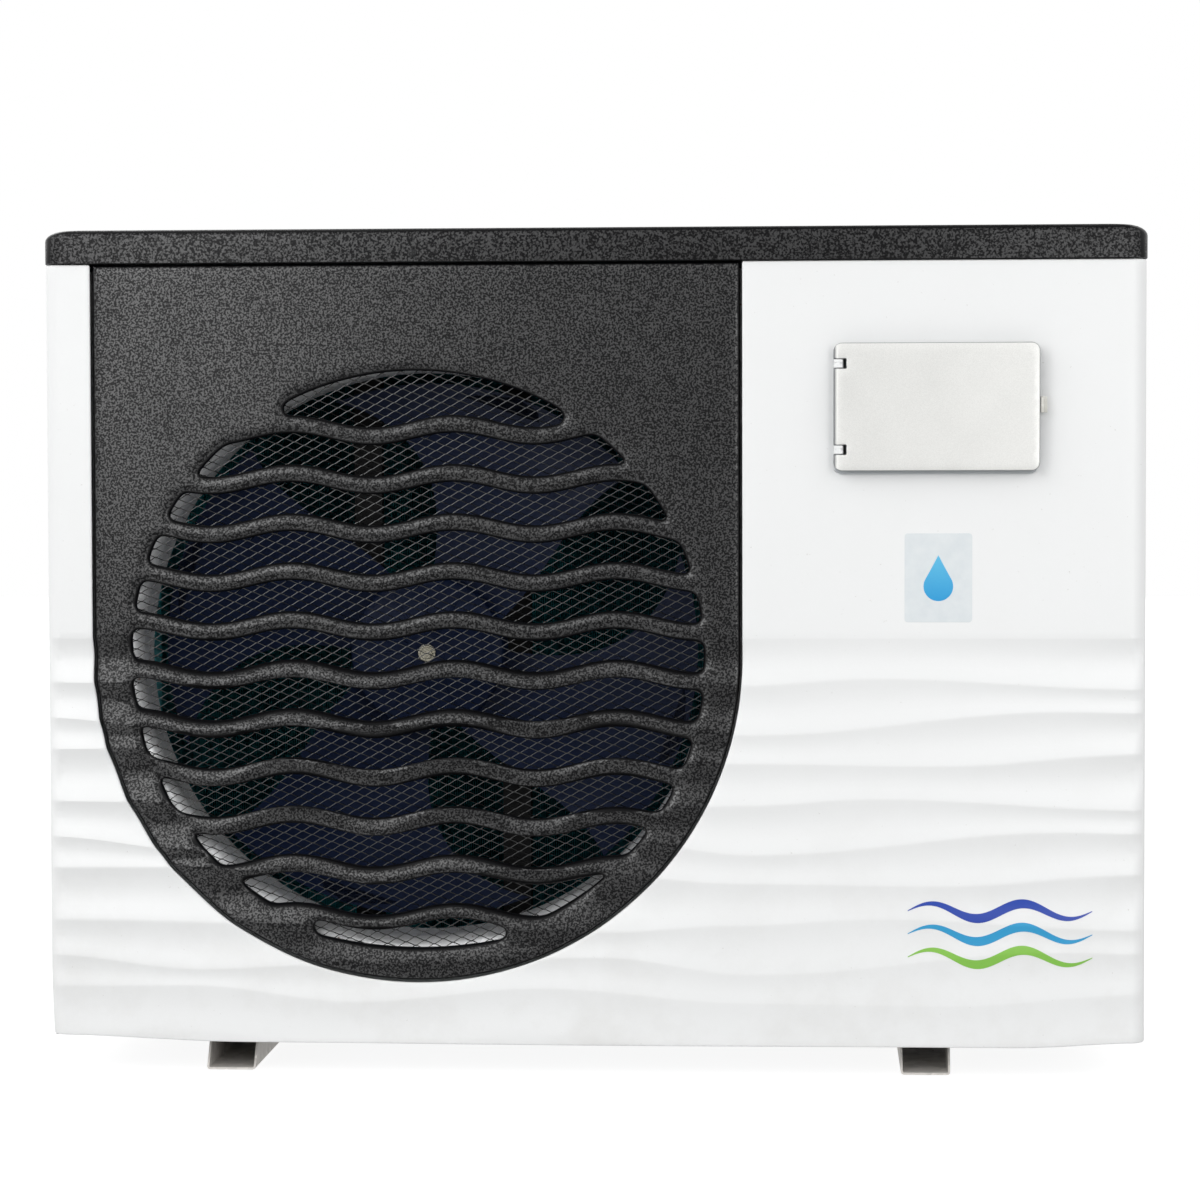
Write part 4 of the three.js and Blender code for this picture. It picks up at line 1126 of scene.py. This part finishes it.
def hub_fixing():
    """The hexagon-headed screw on the hub, with its spring washer."""
    head = FAN_FRONT - 0.3
    shape = Shape()
    washer = [(3.2, head), (8.5, head), (8.5, head - 1.2), (8.2, head - 1.5), (3.2, head - 1.5)]
    shape.turned("Y", washer, FAN_X, FAN_Z, 40)
    hexagon = circle(FAN_X, FAN_Z, 6.2, 6)
    shape.prism("Y", hexagon, head - 4.9, head - 1.4, 0.5)
    crown = [(0, head - 5), (3.6, head - 5), (3.9, head - 4.6), (0, head - 4.4)]
    shape.turned("Y", crown, FAN_X, FAN_Z, 24)
    shank = [(0, head - 2), (2.9, head - 2), (2.9, head + 14), (0, head + 15)]
    shape.turned("Y", shank, FAN_X, FAN_Z, 16)
    make("hub_fixing", shape, "zinc", "fan", "hub_screw")


# ---- coil

FIN_PITCH = 2.4
FIN_THICKNESS = 0.35
FIN_WAVE = 1.3  # how far the corrugation swings to each side
COIL_BEND = 78


def fin(shape, start, end, bottom, top):
    """One fin of the coil, between two plan points, with a slight corrugation."""
    start, end = Vector(start), Vector(end)
    along = end - start
    side = Vector((-along.y, along.x)).normalized()
    front_face, back_face = [], []
    for i in range(7):
        middle = start + along * i / 6 + side * FIN_WAVE * (-1) ** i
        front_face.append(middle + side * FIN_THICKNESS / 2)
        back_face.append(middle - side * FIN_THICKNESS / 2)
    outline = [*front_face, *back_face[::-1]]
    shape.loft([[(p.x, p.y, z) for p in outline] for z in (bottom, top)])


def coil():
    low, high = span("evaporator_coil")
    thickness = 38
    bend_x, bend_y = low.x + COIL_BEND, high.y - COIL_BEND
    inner = COIL_BEND - thickness
    shape = Shape()
    for y in np.arange(low.y + 2, bend_y, FIN_PITCH):
        fin(shape, (low.x, y), (low.x + thickness, y), low.z, high.z)
    for angle in np.radians(np.arange(180, 90, -2.3)):
        cos, sin = math.cos(angle), math.sin(angle)
        fin(shape, (bend_x + inner * cos, bend_y + inner * sin),
            (bend_x + COIL_BEND * cos, bend_y + COIL_BEND * sin), low.z, high.z)
    for x in np.arange(bend_x, high.x - 2, FIN_PITCH):
        fin(shape, (x, high.y - thickness), (x, high.y), low.z, high.z)
    make("finned_coil", shape, "blue_fins", stands_for="evaporator_coil")


def return_bends():
    """Copper hairpins that stand out of the end plates, two rows deep."""
    low, high = span("evaporator_coil")
    pitch, radius, margin = 25.4, 4.8, 20
    row_depths = (10, 28)
    bulge = 0.9  # the bends are a little flatter than half-circles
    plate_y = span("coil_end_plate_left")[0].y
    plate_x = span("coil_end_plate_right")[1].x
    shape = Shape()
    for i in range(int((high.z - low.z - margin) / pitch / 2)):
        z = low.z + margin + 2 * i * pitch
        bend = arc(0, z + pitch / 2, pitch / 2, -90, 90, 10)
        for depth in row_depths:
            shape.tube([(low.x + depth, plate_y - a * bulge, b) for a, b in bend], radius)
            shape.tube([(plate_x + a * bulge, high.y - depth, b) for a, b in bend], radius)
    make("return_bends", shape, "copper")


# ---- sides and rear

def flat_panel(axis, outline, holes, front_at, back_at, roll=1.0, step=14):
    """A flat moulded or pressed sheet across an axis, from its outer to its inner face."""
    loops = [resampled(outline, 3), *[resampled(hole, 3) for hole in holes]]
    (u0, v0), (u1, v1) = np.min(outline, axis=0), np.max(outline, axis=0)
    grid = lattice(u0, u1, v0, v1, step)
    sign = 1 if back_at > front_at else -1

    def front(u, v, drop):
        return np.column_stack(AXES[axis](u, v, front_at + sign * drop))

    def back(u, v):
        return np.column_stack(AXES[axis](u, v, np.full_like(u, back_at)))

    shape = Shape()
    sheet(shape, loops, roll, grid, grid, front, back)
    return shape


def left_side():
    low, high = span("side_panel_left")
    columns = [(80, 230), (244, 394)]
    rows, first, pitch, height = 14, 90, 46, 34
    slots = [(y0, first + row * pitch, y1, first + row * pitch + height)
             for row in range(rows) for y0, y1 in columns]
    outline = rounded(low.y, low.z, high.y, high.z, 2)
    holes = [rounded(*slot, 5) for slot in slots]
    shape = flat_panel("X", outline, holes, low.x, low.x + SKIN)
    shape.block((low.x + 1, high.y - SKIN, low.z + 1), (high.x, high.y, high.z - 0.5), 0.5)
    blade = [(low.x + 1.2, -3), (low.x + 2.4, -3.6), (low.x + 9.5, 4), (low.x + 8.8, 5)]
    blades, first_blade, blade_pitch = 3, 6, 11
    for y0, z0, y1, _ in slots:
        for k in range(blades):
            z = z0 + first_blade + blade_pitch * k
            shape.loft([[(x, y, z + dz) for x, dz in blade] for y in (y0 + 0.2, y1 - 0.2)])
    make("left_cover", shape, "white_abs", stands_for="side_panel_left")


def right_side():
    low, high = span("side_panel_right")
    outline = rounded(low.y, low.z, high.y, high.z, 2)
    pocket = (183, 693, 297, 732)
    shape = flat_panel("X", outline, [rounded(*pocket, 8)], high.x, high.x - SKIN)
    depth = 21
    rim = np.array(rounded(*pocket, 8, 8))
    levels = [(0, 0.8), (1.2, 2.5), (3, depth - 4), (5, depth - 1.2), (8, depth)]
    inside = [[(high.x - d, u, v) for u, v in inset(rim, i)] for i, d in levels]
    outside = [[(high.x - d - 2, u, v) for u, v in inset(rim, i - 2)] for i, d in levels]
    shape.loft([*outside[::-1], *inside])
    shape.block((low.x, high.y - SKIN, low.z + 1), (high.x - 1, high.y, high.z - 0.5), 0.5)
    make("right_cover", shape, "white_abs", stands_for="side_panel_right")


def rear_plate():
    low, high = span("rear_panel")
    outline = rounded(low.x, low.z, high.x, high.z, 1.5)
    port_radius, gland_radius = 34, 9
    holes = [circle(WATER_X, z, port_radius, 60) for z in WATER_HEIGHTS.values()]
    holes.append(circle(*GLAND_PLACE, gland_radius, 24))
    shape = flat_panel("Y", outline, holes, high.y, low.y, 0.6)
    bead = [(37, -1), (38.5, 1.4), (41, 2), (43.5, 1.4), (45, -1)]
    for z in WATER_HEIGHTS.values():
        shape.turned("Y", [(r, high.y + rise) for r, rise in bead], WATER_X, z, 72)
    for z in (600, 660, 720):
        rib = rounded(low.x + 40, z - 6, high.x - 40, z + 6, 5.9)
        shape.prism("Y", rib, high.y - 1, high.y + 1.6, 0.9)
    make("rear_sheet", shape, "galvanised", stands_for="rear_panel")
    screws = Shape()
    for x in (low.x + 9, high.x - 9):
        for z in (70, 240, 410, 580, 745):
            hex_head(screws, (x, high.y, z), (0, 1, 0), 3.6)
    make("rear_screws", screws, "zinc")


def rear_grid():
    """A framed guard of round rods in front of the coil."""
    low, high = span("rear_guard")
    frame, columns, rows, rod = 22, 3, 10, 5
    rod_radius, wire_radius, wires, setback = 2.4, 1.1, 18, 1.6
    outline = rounded(low.x, low.z, high.x, high.z, 3)
    window = rounded(low.x + frame, low.z + frame, high.x - frame, high.z - frame, 4)
    shape = flat_panel("Y", outline, [window], high.y, low.y, 1.2)
    middle = (low.y + high.y) / 2
    x0, x1 = low.x + frame, high.x - frame
    z0, z1 = low.z + frame, high.z - frame
    width, height = (x1 - x0 + rod) / columns, (z1 - z0 + rod) / rows
    for i in range(1, columns):
        x = x0 + i * width - rod / 2
        shape.tube([(x, middle, z0 - 1), (x, middle, z1 + 1)], rod_radius, 16)
    for i in range(1, rows):
        z = z0 + i * height - rod / 2
        shape.tube([(x0 - 1, middle, z), (x1 + 1, middle, z)], rod_radius, 16)
    wire_y = middle - setback
    for i in range(1, wires):
        x = x0 + i * (x1 - x0) / wires
        shape.tube([(x, wire_y, z0 - 1), (x, wire_y, z1 + 1)], wire_radius, 8)
    make("coil_guard", shape, "white_abs", stands_for="rear_guard")
    screws = Shape()
    for z in (50, 230, 405, 580, 760):
        for x in (low.x + 11, high.x - 11):
            cross_head(screws, (x, high.y, z), (0, 1, 0), 3.6, 1.5)
    make("guard_screws", screws, "zinc")


# ---- water connections

def union_nut(side, z):
    """A union nut with a round bore and lugs all round."""
    low, high = span(f"union_nut_{side}")
    outer = (high.x - low.x) / 2
    seat, rear = low.y, high.y
    shape = Shape()
    bore = [(30.4, seat), (outer - 4, seat), (outer - 2.4, seat + 1.5), (outer - 2.4, rear - 5),
            (outer - 5, rear), (25.4, rear), (25.4, rear - 7.6), (30.4, rear - 7.6)]
    shape.turned("Y", bore, WATER_X, z, 72)
    lugs, root = 18, outer - 3.4
    foot_half, top_half = 3, 1.8
    stations = [
        (seat + 1.5, outer - 0.8), (seat + 3, outer), (rear - 7, outer), (rear - 4, outer - 1.5),
    ]
    for i in range(lugs):
        radial, across = spoke(2 * math.pi * i / lugs)
        centre = Vector((WATER_X, 0, z))
        rings = []
        for y, r in stations:
            base = centre + radial * root + Vector((0, y, 0))
            top = centre + radial * r + Vector((0, y, 0))
            foot, crown = across * foot_half, across * top_half
            rings.append([base + foot, top + crown, top - crown, base - foot])
        shape.loft(rings)
    body = f"nut_{side}"
    make(f"ribbed_nut_{side}", shape, "black_pvc", body, f"union_nut_{side}")


def water_tail(side, z):
    low, high = span(f"water_{side}_tail")
    profile = [
        (21, low.y), (30, low.y), (30, low.y + 4), (29, low.y + 4.7), (25, low.y + 4.7),
        (25, high.y - 12), (25, high.y - 1.5), (23.8, high.y), (21, high.y),
    ]
    shape = Shape()
    shape.turned("Y", profile, WATER_X, z, 72)
    make(f"tail_{side}", shape, "black_pvc", stands_for=f"water_{side}_tail")


def gland():
    low, high = span("cable_gland")
    x, z = middle("cable_gland", "xz")
    face = REAR + 0.3
    shape = Shape()
    barrel = [(5, low.y), (8.2, low.y), (8.2, face + 1), (5, face + 1)]
    shape.turned("Y", barrel, x, z, 32)
    shape.prism("Y", circle(x, z, 13, 6), face, face + 7, 0.6)
    cap = [(5, face + 6), (11.5, face + 6), (11.5, face + 15), (10.8, face + 17), (8, high.y - 0.6),
           (7.4, high.y), (5, high.y)]
    shape.turned("Y", cap, x, z, 48)
    for angle in np.radians(np.arange(0, 360, 30)):
        radial, side = spoke(angle)
        rings = []
        for y in (face + 7, face + 15):
            base = Vector((x, y, z))
            rings.append([base + radial * 11 + side, base + radial * 12.4 + side * 0.5,
                          base + radial * 12.4 - side * 0.5, base + radial * 11 - side])
        shape.loft(rings)
    make("gland_cap", shape, "black_pvc", stands_for="cable_gland")


# ---- controller

DOOR_LOW, DOOR_HIGH = span("controller_door")
HINGE_X, HINGE_Y = middle("hinge_pin_lower", "xy")
HINGE_HEIGHTS = [middle(f"hinge_pin_{name}", "z")[0] for name in ("lower", "upper")]
KNUCKLE_LENGTH = 8
DOOR_WALL = 2
DOOR_ROLL = 1.3
DOOR_GRIP = 13  # solid part beside the hinge


def door_outline():
    """The door's outline, with a notch for each knuckle in its left edge."""
    low, high = DOOR_LOW, DOOR_HIGH
    notch = KNUCKLE_LENGTH / 2 + 0.4
    reach = HINGE_X + 7
    corner = 8
    outline = [*arc(high.x - corner, low.z + corner, corner, -90, 0, 8),
               *arc(high.x - corner, high.z - corner, corner, 0, 90, 8),
               *arc(low.x + corner, high.z - corner, corner, 90, 180, 8)]
    for z in HINGE_HEIGHTS[::-1]:
        outline += [(low.x, z + notch), (reach, z + notch), (reach, z - notch), (low.x, z - notch)]
    outline += arc(low.x + corner, low.z + corner, corner, 180, 270, 8)
    return refined(outline, 3)


def door_back(shape, rim):
    """The door's rim and its hollow rear, behind a front whose first points follow the rim."""
    low, high = DOOR_LOW, DOOR_HIGH
    right, top = high.x - DOOR_WALL, high.z - DOOR_WALL
    hollow = np.array(rounded(low.x + DOOR_GRIP, low.z + DOOR_WALL, right, top, 6, 6))
    points, _, faces, starts = triangulated(oriented([rim, hollow]), 0, np.empty((0, 2)))
    base = len(shape.points)
    shape.add([(x, high.y, z) for x, z in points], [face[::-1] for face in faces])
    count = len(rim)
    shape.faces.extend([(i + 1) % count, i, base + i, base + (i + 1) % count] for i in range(count))
    count = len(hollow)
    mouth, floor = base + starts[1], len(shape.points)
    floor_points = [shape.points[mouth + i] for i in range(count)]
    shape.points.extend((x, low.y + DOOR_WALL, z) for x, _, z in floor_points)
    for i in range(count):
        j = (i + 1) % count
        shape.faces.append([mouth + i, mouth + j, floor + j, floor + i])
    shape.faces.append([floor + i for i in range(count)])


def door():
    """The door: a shallow shell, rounded about its pins, notched for the two knuckles."""
    low, high = DOOR_LOW, DOOR_HIGH
    left_round = HINGE_X - low.x
    grid = np.vstack([
        lattice(low.x, high.x, low.z, high.z, 8),
        np.array([(low.x + d, z) for d in (1.9, 2.8, 4) for z in np.arange(low.z, high.z, 2.4)]),
    ])

    def front(x, z, drop):
        near = np.clip(left_round - (x - low.x), 0, left_round)
        bend = left_round - np.sqrt(left_round**2 - near**2)
        return np.column_stack([x, low.y + np.maximum(drop, bend), z])

    loops = oriented([door_outline()])
    shape = Shape()
    points, drops, faces, _ = triangulated(loops, DOOR_ROLL, grid)
    shape.add(front(points[:, 0], points[:, 1], drops), faces)
    door_back(shape, loops[0])
    make("door_shell", shape, "silver_abs", "door", "controller_door", 28)


def refined(outline, step):
    """The outline with its long edges divided, and its corners kept."""
    points = np.asarray(outline, float)
    refined_points = []
    for a, b in zip(points, np.roll(points, -1, axis=0)):
        parts = max(1, round(np.linalg.norm(b - a) / step))
        refined_points.extend(a + (b - a) * k / parts for k in range(parts))
    return np.array(refined_points)


def hinge_pins():
    for name, z in zip(("lower", "upper"), HINGE_HEIGHTS):
        shape = Shape()
        half = [(1.5, 9.6), (1.2, 10), (0, 10)]
        profile = [*[(r, z - h) for r, h in half[::-1]], *[(r, z + h) for r, h in half]]
        shape.turned("Z", profile, HINGE_X, HINGE_Y, 24)
        make(f"door_pin_{name}", shape, "steel", "door", f"hinge_pin_{name}")


def knuckles():
    """White hinge knuckles that stand on the controller's left edge, each with a moulded arch."""
    shape = Shape()
    for z in HINGE_HEIGHTS:
        z0, z1 = z - KNUCKLE_LENGTH / 2, z + KNUCKLE_LENGTH / 2
        barrel = [(1.8, z0), (4.1, z0), (4.5, z0 + 0.4), (4.5, z1 - 0.4), (4.1, z1), (1.8, z1)]
        shape.turned("Z", barrel, HINGE_X, HINGE_Y, 32)
        for low_z, high_z in ((z0 + 0.2, z0 + 3), (z1 - 3, z1 - 0.2)):
            shape.block((HINGE_X - 4.3, HINGE_Y - 4.9, low_z), (HINGE_X + 3.6, -4.6, high_z), 0.3)
    make("hinge_knuckles", shape, "white_abs")


def controller_body():
    """The grey base under the door, with its well for the display and the keys."""
    low, high = span("controller_base")
    right = high.x - 8.5
    well_box = (low.x + 8, low.z + 9, right - 8, high.z - 5)
    well = rounded(*well_box, 5)
    outline = rounded(low.x, low.z, right, high.z, 8, 8)
    face = -4.4
    shape = flat_panel("Y", outline, [well], face, -0.3, 1.0, 8)
    rim = np.array(rounded(*well_box, 5, 6))
    levels = [(0, face + 1), (0.4, face + 2.5), (0.9, 5.2), (1.6, 6)]
    inside = [[(x, y, z) for x, z in inset(rim, i)] for i, y in levels]
    outside = [[(x, y + 0.6, z) for x, z in inset(rim, i - 2)] for i, y in levels]
    shape.loft([*outside[::-1], *inside], caps=False)
    floor_outline = rounded(low.x + 8.6, low.z + 9.6, right - 8.6, high.z - 5.6, 5)
    floor = flat_panel("Y", floor_outline, [], 6, 8, 0, 10)
    shape.add(floor.points, floor.faces)
    shape.block((low.x + 4, 8, low.z + 4), (right - 4, high.y, high.z - 4), 1.5)
    make("controller_tray", shape, "control_grey", stands_for="controller_base")


def display():
    low, high = span("controller_display")
    shape = Shape()
    outline = rounded(low.x, low.z, high.x, high.z, 4, 6)
    shape.prism("Y", outline, low.y, high.y, 0.8)
    make("display_window", shape, "display_glass", stands_for="controller_display")


KEY_SIGNS = {"power": "ring", "mode": "bar", "up": "up", "down": "down"}


def key(name):
    """A domed key with its raised sign."""
    node = f"button_{name}"
    low, high = span(node)
    x, z = middle(node, "xz")
    shape = Shape()
    dome = [
        (0, low.y), (3.4, low.y + 0.08), (4.9, low.y + 0.35), (5.7, low.y + 0.9), (6, low.y + 1.8),
        (6, high.y - 1.2), (7.5, high.y - 1.2), (7.5, high.y), (0, high.y),
    ]
    shape.turned("Y", dome, x, z, 40)
    sign = KEY_SIGNS[name]
    proud, sunk = low.y - 0.1, low.y + 0.3
    if sign == "ring":
        shape.turned("Y", [(2, sunk), (2, proud), (2.6, proud), (2.6, sunk)], x, z, 32)
    elif sign == "bar":
        shape.prism("Y", rounded(x - 2.5, z - 0.6, x + 2.5, z + 0.6, 0.5, 3), proud, sunk)
    else:
        way = 1 if sign == "up" else -1
        triangle = [(x + u * way, z + v * way) for u, v in ((-2.3, -1.5), (2.3, -1.5), (0, 2.2))]
        shape.prism("Y", triangle, proud, sunk)
    make(f"key_{name}_cap", shape, "key_rubber", f"key_{name}", node)


def latch():
    low, high = span("latch_tab")
    outline = [
        (low.x, low.y + 0.5), (low.x + 0.6, low.y), (low.x + 2.4, low.y), (low.x + 3, low.y + 0.5),
        (low.x + 3.3, -8.6), (low.x + 4, -7.6), (high.x - 0.4, -7), (high.x, -6.6),
        (high.x, high.y), (low.x, high.y),
    ]
    shape = Shape()
    shape.prism("Z", outline, low.z, high.z, 0.4)
    make("latch_catch", shape, "clear_plastic", "latch", "latch_tab")


# ---- printed marks

STICKER = (296.7, 434, 360.3, 518)
STICKER_PROUD = 0.25


def sticker():
    """A clear film with a plain water drop on it."""
    u0, v0, u1, v1 = STICKER
    shape = Shape()
    shape.prism("Y", rounded(u0, v0, u1, v1, 3, 4), -STICKER_PROUD, 0.4, 0.1)
    make("sticker_film", shape, "clear_plastic", material=film())
    middle, base, radius = (u0 + u1) / 2, v0 + 34, 14
    drop = [*arc(middle, base, radius, 150, 390, 30), *smooth_tip(middle, base, radius)]
    mark = Shape()
    mark.prism("Y", drop, -STICKER_PROUD - 0.12, -0.05)
    blue = ink("drop_ink", 0x2E9BD6, 0x66C4E8, v0 + 20, v1 - 14)
    make("sticker_drop", mark, "clear_plastic", material=blue)


def smooth_tip(x, z, radius):
    """The pointed top of a drop, closed over the arc that ends at 390 degrees."""
    start = Vector((x + radius * math.cos(math.radians(30)), z + radius * 0.5))
    tip = Vector((x, z + 2.1 * radius))
    bend = start + Vector((-0.29, 0.5)) * radius * 0.9
    places = np.linspace(0.1, 1, 10)
    right = [start * (1 - t) ** 2 + 2 * bend * t * (1 - t) + tip * t**2 for t in places]
    left = [Vector((2 * x - p.x, p.y)) for p in right[-2::-1]]
    return [tuple(p) for p in [*right, *left]]


def wave_marks():
    """Three plain wave lines, low on the right of the front, laid over the relief."""
    x0, x1, z0 = 300, 474, 116
    spacing, swing, edge, belly = 22, 7, 0.4, 4.2
    across = np.linspace(-1, 1, 15)
    colours = [(0x27338F, 0x2F4FB0), (0x2E8FC4, 0x3FA9D8), (0x7FBF4D, 0x9CCB5F)]
    for k, (low, high) in enumerate(colours):
        rings = []
        for t in np.linspace(0, 1, 80):
            x = x0 + (x1 - x0) * t
            half = edge + belly * math.sin(math.pi * t)
            z = z0 + spacing * (2 - k) + swing * math.sin(4 * math.pi * t) + half * across
            depth = relief(np.full_like(z, x), z)
            printed = [(x, y - 0.25, h) for y, h in zip(depth, z)]
            backing = [(x, y + 0.3, h) for y, h in zip(depth, z)]
            rings.append([*printed, *backing[::-1]])
        shape = Shape()
        shape.loft(rings)
        name = ("upper", "middle", "lower")[k]
        printed_ink = ink(f"wave_ink_{name}", low, high, 90, 180)
        make(f"wave_mark_{name}", shape, "white_abs", material=printed_ink)


# ---- carried-over CAD pieces

def finish_cad_nodes():
    """Every CAD piece that still shows takes the finish of its slot in the record."""
    slots = {row["node"]: row["material_slot"] for row in frame["record"]["subparts"]}
    for name, obj in frame["nodes"].items():
        material = MATERIALS[slots[name]]
        obj.data.materials.clear()
        obj.data.materials.append(material)


# ---- stage, light and camera

def floor():
    """A pale floor that glows faintly, so that the shadow under the unit stays light."""
    mesh = bpy.data.meshes.new("floor")
    half = 12
    corners = [(-half, -half, 0), (half, -half, 0), (half, half, 0), (-half, half, 0)]
    mesh.from_pydata(corners, [], [[0, 1, 2, 3]])
    finish = Finish("studio_floor", 0.9)
    finish.shader.inputs["Emission Color"].default_value = (1, 1, 1, 1)
    finish.shader.inputs["Emission Strength"].default_value = 0.85
    tone = finish.mix(finish.noise(3, 3), rgb(0x929292), rgb(0x8C8C8C))
    mesh.materials.append(finish.paint(tone))
    plane = bpy.data.objects.new("floor", mesh)
    bpy.context.collection.objects.link(plane)
    plane.visible_diffuse = False
    plane.visible_glossy = False


def area_light(name, place, target, size, power):
    lamp = bpy.data.lights.new(name, "AREA")
    lamp.shape = "RECTANGLE"
    lamp.size, lamp.size_y = size
    lamp.energy = power
    obj = bpy.data.objects.new(name, lamp)
    obj.location = place
    obj.rotation_euler = (Vector(target) - Vector(place)).to_track_quat("-Z", "Y").to_euler()
    bpy.context.collection.objects.link(obj)
    return obj


# radiance from straight down to straight up, and from the far left to the far right
SKY_UP = [
    (-1, 0.95), (-0.4, 0.6), (-0.12, 0.22), (0, 0.5),
    (0.14, 1.1), (0.45, 1.5), (0.75, 0.95), (1, 0.6),
]
SKY_ACROSS = [
    (-1, 1.1), (-0.5, 1.35), (-0.25, 1.4), (-0.05, 0.35),
    (0.06, 0.25), (0.25, 0.7), (0.5, 1.05), (1, 1.05),
]
SKY_PEAK = 1.5


def sky_ramp(tree, direction, stops):
    """Radiance, as a share of the peak, that changes with one component of the direction."""
    place = tree.nodes.new("ShaderNodeMapRange")
    place.inputs["From Min"].default_value = -1
    tree.links.new(direction, place.inputs["Value"])
    ramp = tree.nodes.new("ShaderNodeValToRGB")
    while len(ramp.color_ramp.elements) < len(stops):
        ramp.color_ramp.elements.new(0.5)
    for element, (component, radiance) in zip(ramp.color_ramp.elements, stops):
        element.position = (component + 1) / 2
        element.color = (*[radiance / SKY_PEAK] * 3, 1)
    tree.links.new(place.outputs["Result"], ramp.inputs["Fac"])
    return ramp.outputs["Color"]


def sky():
    """A soft studio, brightest to the left and above eye level. The camera sees plain white."""
    world = bpy.data.worlds.new("studio")
    world.use_nodes = True
    tree = world.node_tree
    link = tree.links.new
    seen = tree.nodes["Background"]
    seen.inputs["Color"].default_value = (1, 1, 1, 1)
    lit = tree.nodes.new("ShaderNodeBackground")
    lit.inputs["Strength"].default_value = SKY_PEAK**2
    split = tree.nodes.new("ShaderNodeSeparateXYZ")
    link(tree.nodes.new("ShaderNodeTexCoord").outputs["Generated"], split.inputs[0])
    product = tree.nodes.new("ShaderNodeVectorMath")
    product.operation = "MULTIPLY"
    link(sky_ramp(tree, split.outputs["Z"], SKY_UP), product.inputs[0])
    link(sky_ramp(tree, split.outputs["X"], SKY_ACROSS), product.inputs[1])
    link(product.outputs[0], lit.inputs["Color"])
    blend = tree.nodes.new("ShaderNodeMixShader")
    link(tree.nodes.new("ShaderNodeLightPath").outputs["Is Camera Ray"], blend.inputs["Fac"])
    link(lit.outputs[0], blend.inputs[1])
    link(seen.outputs[0], blend.inputs[2])
    link(blend.outputs[0], tree.nodes["World Output"].inputs["Surface"])
    bpy.context.scene.world = world


def lights():
    sky()
    bpy.context.scene.view_settings.view_transform = "Standard"
    overhead = area_light("overhead", (-0.9, -2.1, 2.4), (0, -0.2, 0.45), (1.5, 1.1), 4)
    overhead.visible_glossy = False
    area_light("left_strip", (-0.7, -1.55, 0.96), (-0.3, -0.2, 0.55), (0.45, 1), 3.8)
    area_light("right_strip", (0.85, -1.55, 0.72), (0.35, -0.2, 0.4), (0.4, 1), 3.5)


def camera():
    yaw, pitch, roll = math.radians(3.475), math.radians(2.294), math.radians(0.146)
    data = bpy.data.cameras.new("camera")
    data.sensor_width = 36
    data.lens = 105.66
    data.shift_y = 0.0061
    obj = bpy.data.objects.new("camera", data)
    obj.location = (0.211, FRONT - 3.3375, 0.5821)
    level = Euler((math.pi / 2 - pitch, 0, yaw), "XYZ").to_matrix()
    obj.rotation_euler = (level @ Matrix.Rotation(-roll, 3, "Z")).to_euler()
    bpy.context.collection.objects.link(obj)
    bpy.context.scene.camera = obj


# ---- assembly

camera()
lights()
floor()
finish_cad_nodes()
front_panel()
grille_panel()
guard_net()
lid()
lid_screws()
for side in ("left", "right"):
    foot(side)
shroud()
fan_wheel()
hub_fixing()
coil()
return_bends()
left_side()
right_side()
rear_plate()
rear_grid()
for side, height in WATER_HEIGHTS.items():
    union_nut(side, height)
    water_tail(side, height)
gland()
door()
hinge_pins()
knuckles()
controller_body()
display()
for name in KEY_SIGNS:
    key(name)
latch()
sticker()
wave_marks()
